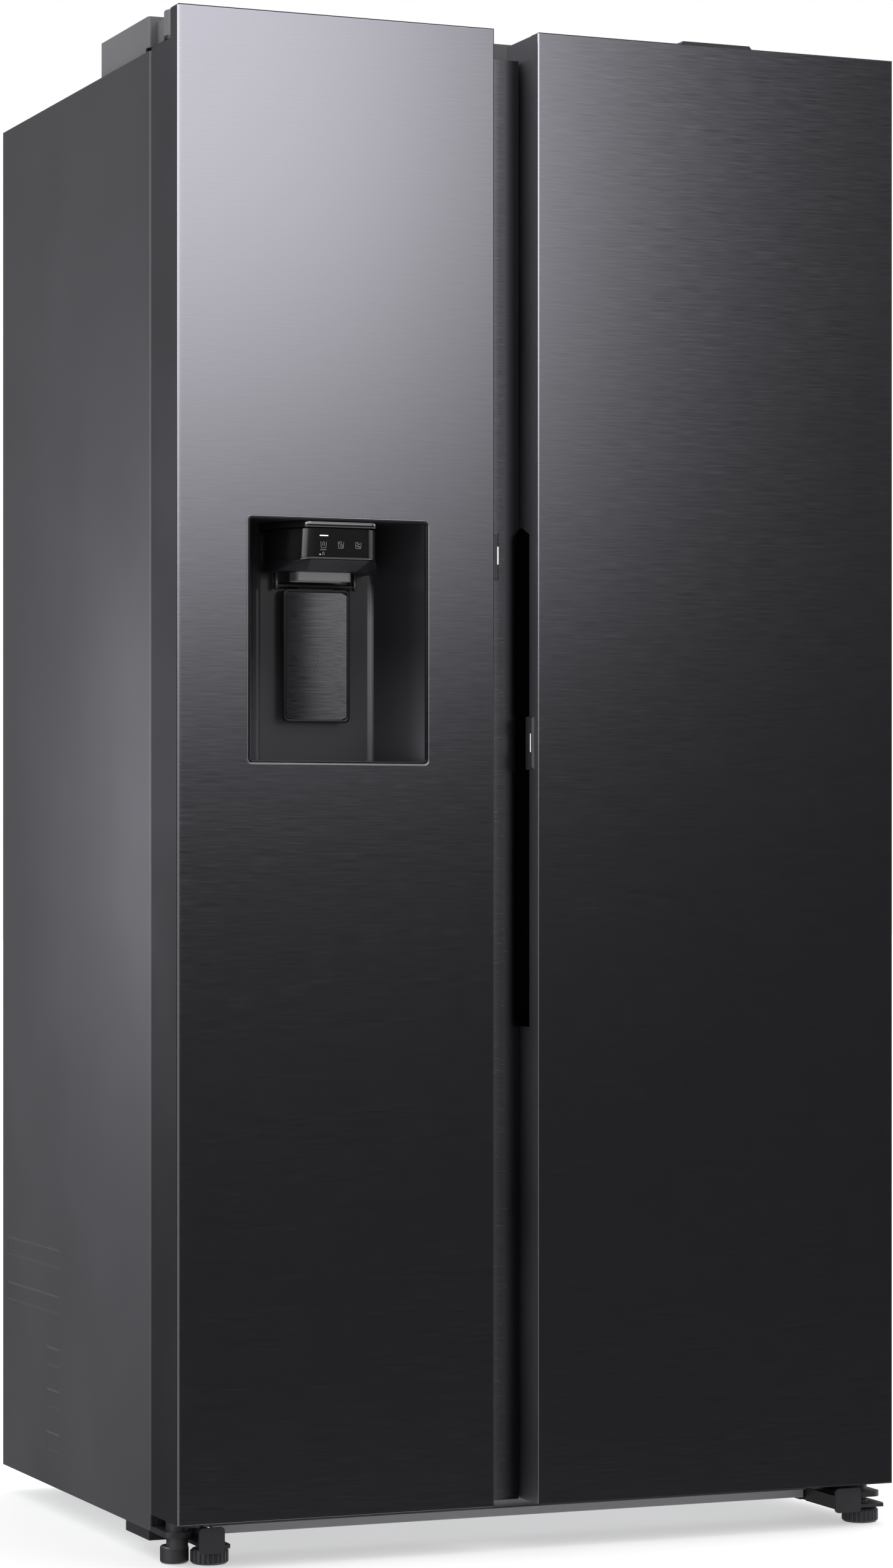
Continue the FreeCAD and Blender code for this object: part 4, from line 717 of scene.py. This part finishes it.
def make_rim(body):
    outer_box = (OPENING[0] + 0.1, OPENING[1] - 0.1, OPENING[2] + 0.1, OPENING[3] - 0.1)
    outer = inset_loop(outer_box, 0.0, OPENING_ROUND)
    middle = inset_loop(outer_box, RIM_LINE, OPENING_ROUND - RIM_LINE)
    inner = inset_loop(outer_box, RIM_LINE + GROOVE, 2.5)
    piece("dispenser_rim", slab([outer, middle], facing, 0.0, RIM_DEPTH), "bright_rim", body, bevel=0.5,
          stands_for=["dispenser_frame"])
    piece("dispenser_groove", slab([middle, inner], facing, 1.0, 6.0), "gloss_black", body, bevel=0.6)


def make_recess(body):
    """The tub: splayed sides, a flat back, a floor and a roof with the chute's hole, and a lighter grey strip
    that paints the bright highlight in its back-right bend.
    """
    left, right = (-TUB_FRONT_HALF, RIM_DEPTH), (TUB_FRONT_HALF, RIM_DEPTH)
    back_left, back_right = (-TUB_BACK_HALF, TUB_BACK), (TUB_BACK_HALF, TUB_BACK)
    path = [left, *corner(left, back_left, back_right, 16.0),
            *corner(back_left, back_right, right, 6.0), right]
    path = [(DISP_X + u, v) for u, v in path]
    bm = bmesh.new()
    ribbon(bm, [pt(x, d, TUB_LOW) for x, d in path], [pt(x, d, TUB_HIGH) for x, d in path])
    half, near, far = CHUTE_HOLE
    for z, holes in ((TUB_LOW, []), (TUB_HIGH, [rect(DISP_X - half, DISP_X + half, near, far)])):
        fill_loops(bm, [path, *holes], lambda x, d, z=z: pt(x, d, z))
    bmesh.ops.remove_doubles(bm, verts=bm.verts, dist=1e-6)
    bmesh.ops.recalc_face_normals(bm, faces=bm.faces)
    back_faces = [f for f in bm.faces if abs(f.normal.y) > 0.9]
    if back_faces[0].normal.y > 0:
        bmesh.ops.reverse_faces(bm, faces=bm.faces)
    # its finish paints shade at the top and light towards the bottom
    piece("dispenser_tub", bm, "recess_black", body, thick=2.0,
          stands_for=["dispenser_recess"])
    # a lighter grey strip along the back-right bend: a painted highlight, fading out towards its top
    turn = [(DISP_X + u, v) for u, v in corner(back_left, back_right, right, 6.8, 10)]
    bm = bmesh.new()
    ribbon(bm, [pt(x, d, TUB_LOW + 0.5) for x, d in turn], [pt(x, d, 1127.0) for x, d in turn])
    piece("dispenser_painted_highlight", bm, "painted_bend_highlight", body, thick=0.4)


def housing_section(z, front, spread=0.0, radius=7.0):
    """The housing's outline at a height: a face, and flares that widen back to the wall."""
    share = (front - FACE_D) / (FLARE_D - FACE_D)
    left_half = FACE_LEFT + share * (FLARE_HALF - FACE_LEFT)
    right_half = FACE_RIGHT + share * (FLARE_HALF - FACE_RIGHT)
    a, b = (-FLARE_HALF - spread, FLARE_D + 0.01), (-left_half - spread, front)
    c, d = (right_half + spread, front), (FLARE_HALF + spread, FLARE_D + 0.01)
    line = [(-FLARE_HALF - spread, HOUSING_BACK), a, *corner(a, b, c, radius, 8),
            *corner(b, c, d, radius, 8), d, (FLARE_HALF + spread, HOUSING_BACK)]
    return [pt(DISP_X + u, v, z) for u, v in line]


def housing_part(sections):
    """Lofts sections of (z, front, spread, radius)."""
    return loft([housing_section(*v) for v in sections])


def make_housing(body):
    throat = [(CHIN_LOW, 42.0, 0.0, 1.5), (CHIN_LOW + 0.8, 38.0, 0.0, 2.5), (FACE_LOW - 1.6, 8.4, -0.4, 14),
              (FACE_LOW - 1.2, 9.4, -0.6, 14)]
    piece("dispenser_throat", housing_part(throat), "black_trim", body)
    # the chin under the face, in rows of height, depth and how far it narrows
    rows = [(FACE_LOW - 1.7, 8.2, 4.5), (FACE_LOW - 5.0, 17.4, 6.5), (CHIN_LOW + 0.9, 36.8, 10.0)]
    bm = bmesh.new()
    ribbon(bm, [pt(DISP_X - FACE_LEFT + narrow, d, z) for z, d, narrow in rows],
           [pt(DISP_X + FACE_RIGHT - narrow, d, z) for z, d, narrow in rows])
    piece("dispenser_chin", bm, "chin_grey", body, bevel=0.3, thick=1.2)
    wide = 17.0
    face = [(FACE_LOW - 1.2, 7.6, 0, wide), (FACE_LOW - 0.3, 5.6, 0, wide), (FACE_LOW + 0.8, 4.9, 0, wide),
            (FACE_LOW + 2, LEAN_D, 0, wide), (FACE_HIGH - 1.0, FACE_D, 0, wide), (FACE_HIGH, 4.2, -1.0, wide)]
    piece("dispenser_housing", housing_part(face), "housing_black", body,
          stands_for=["dispenser_control"])
    ledge = [(FACE_HIGH + 0.3, 4.0, 0.5, 7), (FACE_HIGH + 1.0, 2.6, 1.6, 8), (FACE_HIGH + 2.5, 2.0, 2.0, 8),
             (TUB_HIGH - 2.5, 2.0, 2.0, 8), (TUB_HIGH - 1.0, 2.6, 1.6, 8), (TUB_HIGH - 0.2, 4.0, 0.5, 7)]
    piece("dispenser_ledge", housing_part(ledge), "housing_black", body)


def make_ears(body):
    """Two lugs under the housing that hold the ends of the lever's rod."""
    depth, height = LEVER_AXIS
    ears = []
    for side in (-1, 1):
        x = DISP_X + side * EAR_X
        loop = [(74.5, CHIN_LOW + 1), (73.0, height), *arc(depth, height, 5.0, 180, 360, 8),
                (83.0, CHIN_LOW + 1)]
        ears.append(slab([loop], upright, x - EAR_THICK / 2, x + EAR_THICK / 2))
    # the ears take the tub's finish, with its painted shade and light
    piece("dispenser_ears", join(*ears), "recess_black", body, bevel=0.5)


LEVER = (-302.0, -220.0, 963.0, 1118.0)
LEVER_FRONT = mm_box("dispenser_lever")[1][0]
LEVER_AXIS = (78.0, 1122.0)
BEZEL = 3.4
PLATE_GAP = 0.5
PLATE_SINK = 1.0                 # how far the plate's edges lie behind the bezel's front
DISH = 1.9                       # how much deeper the plate's middle is
PLATE_ROUND = 3.0


def make_lever(body):
    x0, x1, z0, z1 = LEVER
    bezel = slab([inset_loop(LEVER, 0.0, 6.0), inset_loop(LEVER, BEZEL, 3.5)], facing,
                 LEVER_FRONT, LEVER_FRONT + 4.5)
    backing = slab([inset_loop(LEVER, 1.5, 5.0, 6)], facing, LEVER_FRONT + 3.2, LEVER_FRONT + 5.0)
    piece("lever_bezel", join(bezel, backing), "gloss_black", body, bevel=0.9, steps=3,
          stands_for=["dispenser_lever"])
    rod = slab([arc(*LEVER_AXIS, 2.4, *CIRCLE)], upright, DISP_X - 51.0, DISP_X + 51.0)
    depth, height = LEVER_AXIS
    web_loop = [(LEVER_FRONT + 4, z1 - 12), (depth + 2, z1 - 12), (depth + 2, height),
                (LEVER_FRONT + 4, height - 3)]
    web = slab([web_loop], upright, DISP_X - 22.0, DISP_X + 22.0)
    piece("lever_rod", join(rod, web), "black_trim", body)
    make_lever_plate(body, (x1 - x0) / 2 - BEZEL - 0.4, z0 + BEZEL + PLATE_GAP, z1 - BEZEL - PLATE_GAP)
    make_lever_marks(body)


def make_lever_plate(body, half, low, high):
    """The brushed plate: dished from side to side, with small round corners."""
    columns = 12
    lows, highs = [], []
    for i in range(columns + 1):
        u = -half + 2 * half * i / columns
        depth = LEVER_FRONT + PLATE_SINK + DISH * (1 - (u / half) ** 2)
        past = max(0.0, abs(u) - (half - PLATE_ROUND)) / PLATE_ROUND
        cut = PLATE_ROUND * (1 - math.sqrt(max(0.0, 1 - past ** 2)))
        lows.append(pt(DISP_X + u, depth, low + cut))
        highs.append(pt(DISP_X + u, depth, high - cut))
    bm = bmesh.new()
    ribbon(bm, lows, highs)
    piece("lever_plate", bm, "lever_steel", body, thick=1.2)


def make_lever_marks(body):
    """Plain raised marks in the plate's middle: a square, a line and a drop."""
    level = LEVER_FRONT + PLATE_SINK + DISH
    middle, line_z = DISP_X - 0.5, 1032.0
    square = rect(middle - 2.6, middle + 2.6, line_z + 3.5, line_z + 8.7)
    drop = [(middle, 1029.0), (middle - 2.4, 1024.6), (middle - 1.5, 1022.4), (middle + 1.5, 1022.4),
            (middle + 2.4, 1024.6)]
    marks = [stroke([(middle - 9.5, line_z), (middle + 9.5, line_z)], 0.5, level=level),
             stroke(square, 0.6, True, level), stroke(drop, 0.6, True, level)]
    piece("lever_marks", join(*marks), "lever_mark", body)


# ---------------------------------------------------------------- icons and lit marks

ICON_X = (-278.2, -257.0, -235.6)
THIN, THINNER = 0.5, 0.45


def face_depth(z):
    """The leaning control face's depth at a height."""
    low, high = FACE_LOW + 2, FACE_HIGH - 1
    return LEAN_D + (FACE_D - LEAN_D) * (z - low) / (high - low)


def stroke(points, width, closed=False, level=None):
    """A raised line of even width along (x, z) points, on the control face or at another level."""
    depth = level or face_depth(sum(z for _, z in points) / len(points))
    bm = bmesh.new()
    pairs = list(zip(points, points[1:])) + ([(points[-1], points[0])] if closed else [])
    for (xa, za), (xb, zb) in pairs:
        along = Vector((xb - xa, zb - za))
        side = Vector((-along.y, along.x)).normalized() * width / 2
        ends = along.normalized() * width / 2
        loop = [(xa - ends.x + side.x, za - ends.y + side.y), (xa - ends.x - side.x, za - ends.y - side.y),
                (xb + ends.x - side.x, zb + ends.y - side.y), (xb + ends.x + side.x, zb + ends.y + side.y)]
        join(bm, slab([loop], facing, depth - 0.15, depth + 0.3))
    return bm


def dash(x, z, half, width):
    return stroke([(x - half, z), (x + half, z)], width)


def padlock(x):
    shackle = [(x - 0.8, 1154.9), (x - 0.8, 1156.2), (x + 0.8, 1156.2), (x + 0.8, 1154.9)]
    return [stroke(rect(x - 1.2, x + 1.2, 1153.0, 1154.9), THINNER, True), stroke(shackle, THINNER)]


def make_icons(body):
    """Cups with a drop, two cubes and some flakes in them, and small marks under the first one."""
    marks = []
    for x in ICON_X:
        cup = [(x - 3.8, 1170.0), (x - 2.8, 1161.2), (x + 2.8, 1161.2), (x + 3.8, 1170.0)]
        marks.append(stroke(cup, THIN))
    water, cubes, crushed = ICON_X
    drop = [(water, 1168.6), (water - 1.5, 1165.6), (water - 0.9, 1163.9), (water + 0.9, 1163.9),
            (water + 1.5, 1165.6)]
    marks.append(stroke(drop, THIN, True))
    for dx, z in ((-0.8, 1167.4), (0.8, 1163.8)):
        x = cubes + dx
        marks.append(stroke(rect(x - 1.3, x + 1.3, z - 1.3, z + 1.3), THIN, True))
    for dx, z in ((-1.3, 1168.0), (0.6, 1166.4), (-1.0, 1164.4), (1.1, 1163.3)):
        marks.append(dash(crushed + dx, z, 0.6, 1.0))
    marks += padlock(water)
    for dx in (-2.6, 0.0, 2.4):
        marks.append(dash(water + dx, 1159.0, 0.7, 0.8))
    piece("dispenser_icons", join(*marks), "icon_grey", body)
    lit = join(dash(-277.9, 1175.2, 4.5, 1.2), dash(-282.2, 1153.6, 0.2, 0.9))
    piece("dispenser_lamps", lit, "led_white", body)


def make_sensor_lamps():
    """The lit lines of the two door sensors."""
    line = slab([round_rect(-44.2, -42.8, 1151.0, 1172.0, 0.6, 3)], facing, 45.2, 46.2)
    piece("left_sensor_lamp", line, "led_white", "freezer_door")
    line = slab([round_rect(15.2, 17.2, 930.0, 952.0, 0.9, 3)], upright, -14.65, -13.8)
    piece("right_sensor_lamp", line, "led_white", "fridge_door")


def make_dispenser():
    body = "freezer_door"
    make_rim(body)
    make_recess(body)
    make_housing(body)
    make_ears(body)
    make_lever("dispenser_lever")
    make_icons(body)
    make_sensor_lamps()


# ---------------------------------------------------------------- inside, back and top

GLASS = 4.0
SHELF_HEIGHTS = {
    "freezer": (512.0, 800.0, 1090.0, 1380.0),
    "fridge": (512.0, 760.0, 1000.0, 1240.0, 1480.0),
}
NOSE_ROUND, NOSE_BACK = 2.5, 16.0            # the front trim's edge radius and depth
STOP_THICK, STOP_RISE, LEDGE = 3.5, 12.0, 10.0


def shelf_trims(x0, x1, front, back, z):
    """A shelf's moulded parts: a nose that grips the glass, a rear stop with its lip, and two side ledges."""
    nose_end, mid = front + NOSE_BACK, front + NOSE_ROUND
    nose = [(front, z - 4.0), *arc(mid, z - 3.5, NOSE_ROUND, 180, 270, 4), (nose_end, z - 6.0),
            (nose_end, z - 0.2), (nose_end - 2.5, z - 0.2), (nose_end - 2.5, z + GLASS + 0.2),
            (nose_end, z + GLASS + 0.2), (nose_end, z + 5.0), *arc(mid, z + 3.5, NOSE_ROUND, 90, 180, 4)]
    stop = back - STOP_RISE
    trims = [slab([nose], upright, x0, x1), block(x0, x1, stop, stop + STOP_THICK, z - 6, z + STOP_RISE),
             block(x0, x1, stop + STOP_THICK, back, z - 6, z - 0.2)]
    trims += [block(side, side + LEDGE, nose_end, stop, z - 5.5, z - 0.2) for side in (x0, x1 - LEDGE)]
    return trims


def make_shelves():
    """Glass plates with moulded trims."""
    for room, heights in SHELF_HEIGHTS.items():
        (x0, x1), (front, back), _ = mm_box(room + "_shelves")
        glass, trims = [], []
        for z in heights:
            glass.append(block(x0 + 1, x1 - 1, front + 13, back - 9, z, z + GLASS))
            trims += shelf_trims(x0, x1, front, back, z)
        piece(room + "_shelf_glass", join(*glass), "shelf_glass", "cabinet", bevel=0.4,
              stands_for=[room + "_shelves"])
        piece(room + "_shelf_trims", join(*trims), "ice_plastic", "cabinet", bevel=0.5)


def make_lamps():
    """A diffuser strip in each compartment's ceiling."""
    for room, middle in (("freezer", -229.5), ("fridge", 214.5)):
        surround = round_rect(middle - 90, middle + 90, 150.0, 190.0, 8.0, 5)
        lens = round_rect(middle - 84, middle + 84, 156.0, 184.0, 5.0, 5)
        piece(room + "_lamp_frame", slab([surround, lens], lying, 1682.0, 1688.0), "ice_plastic", "cabinet",
              bevel=0.8)
        piece(room + "_lamp_lens", slab([lens], lying, 1683.0, 1687.5), "led_white", "cabinet",
              bevel=0.5)


SCREW_X = (-440.0, -220.0, 0.0, 220.0, 440.0)
COVER_ROWS, SHEET_ROWS = (60.0, 285.0), (700.0, 1200.0, 1715.0)
HEAD, HEAD_BASE, HEAD_HIGH = 4.0, 0.8, 2.0
SLOT_LONG, SLOT_WIDE = 2.2, 0.5
SEAM_LAP = 2.5


def screw_head(x, z, level):
    """A round head with a cross slot."""
    rim = arc(x, z, HEAD, *CIRCLE)
    a, b = SLOT_LONG, SLOT_WIDE
    cross = [(-a, -b), (-b, -b), (-b, -a), (b, -a), (b, -b), (a, -b),
             (a, b), (b, b), (b, a), (-b, a), (-b, b), (-a, b)]
    cross = [(x + dx, z + dz) for dx, dz in cross]
    return [slab([rim, cross], facing, level + HEAD_BASE, level + HEAD_HIGH),
            slab([rim], facing, level, level + HEAD_BASE)]


def make_back():
    """Screws along the edges of the machine cover and the back sheet, and the seam strip between the two."""
    _, (_, level), (_, cover_top) = mm_box("machine_cover")
    sheet_low = mm_box("back_panel")[2][0]
    places = [(x, z) for z in COVER_ROWS for x in SCREW_X]
    places += [(x, z) for z in SHEET_ROWS for x in (SCREW_X[0], SCREW_X[-1])]
    heads = []
    for x, z in places:
        heads += screw_head(x, z, level)
    piece("back_screws", join(*heads), "zinc_sheet", "cabinet", bevel=0.3)
    seam = rect(-452.0, 452.0, cover_top - SEAM_LAP, sheet_low + SEAM_LAP)
    piece("back_seam", slab([seam], facing, level, level + 0.8), "zinc_sheet", "cabinet", bevel=0.3)


CAP_X, CAP_HALF, CAP_HOLE = 224.0, 49.0, 22.0
CAP_LOW, CAP_HIGH, CAP_D = 1770.2, 1776.5, (9.0, 39.0)


def make_top_cap():
    """The small cap with two holes that sits on the fridge door's top edge, drawn in a little at its top."""
    loop = rect(CAP_X - CAP_HALF, CAP_X + CAP_HALF, *CAP_D)
    holes = [arc(CAP_X + dx, sum(CAP_D) / 2, 3.2, *CIRCLE) for dx in (-CAP_HOLE, CAP_HOLE)]
    bm = slab([loop, *holes], lying, CAP_LOW, CAP_HIGH)
    for v in bm.verts:
        out = v.co.x - CAP_X * MM
        if v.co.z > (CAP_HIGH - 1.5) * MM and abs(out) > (CAP_HALF - 4) * MM:
            v.co.x -= math.copysign(5 * MM, out)
    piece("right_door_top_cap", bm, "door_body", "fridge_door", bevel=0.8)


# how far in mm the edges of the carried-over CAD nodes are rounded
CAD_EDGES = {
    "top_cover": 1.2, "ice_chute": 1.0, "side_panel_left": 0.3, "side_panel_right": 0.3,
    "levelling_foot_left": 0.4, "levelling_foot_right": 0.4, "leg_brackets": 0.5, "lower_hinges": 0.5,
    "upper_hinges": 0.5, "right_touch_sensor": 0.4, "left_touch_sensor": 0.5, "freezer_door_bins": 0.8,
    "fridge_door_bins": 0.8, "freezer_drawer_lower": 0.8, "freezer_drawer_upper": 0.8, "crisper_lower": 0.8,
    "crisper_upper": 0.8, "ice_bucket": 0.8, "left_door_liner": 1.2, "right_door_liner": 1.2,
    "ice_maker": 1.0, "back_panel": 0.5, "compressor": 1.0, "front_rail": 0.8, "machine_cover": 0.3,
    "power_inlet": 0.5, "water_valve": 0.8,
}
WELD_DISTANCE = 1e-5


def soften_cad():
    """Small rounded edges on the moulded and pressed parts that stay as CAD made them."""
    for name, width in CAD_EDGES.items():
        obj = frame["nodes"][name]
        weld = obj.modifiers.new("weld", "WELD")
        weld.merge_threshold = WELD_DISTANCE
        add_bevel(obj, width, 2)
        add_even_normals(obj)


make_camera()
make_world()
make_floor()
area_light("left_glow", (-1.05, -0.33, 0.88), (-0.456, -0.25, 0.88), size=(0.25, 0.3), power=3.0, spread=110)
MATERIALS = make_materials()
finish_cad()
make_left_door()
make_right_door()
make_strip()
make_dispenser()
make_shelves()
make_lamps()
make_back()
make_top_cap()
soften_cad()
SCENE.view_settings.view_transform = "Standard"
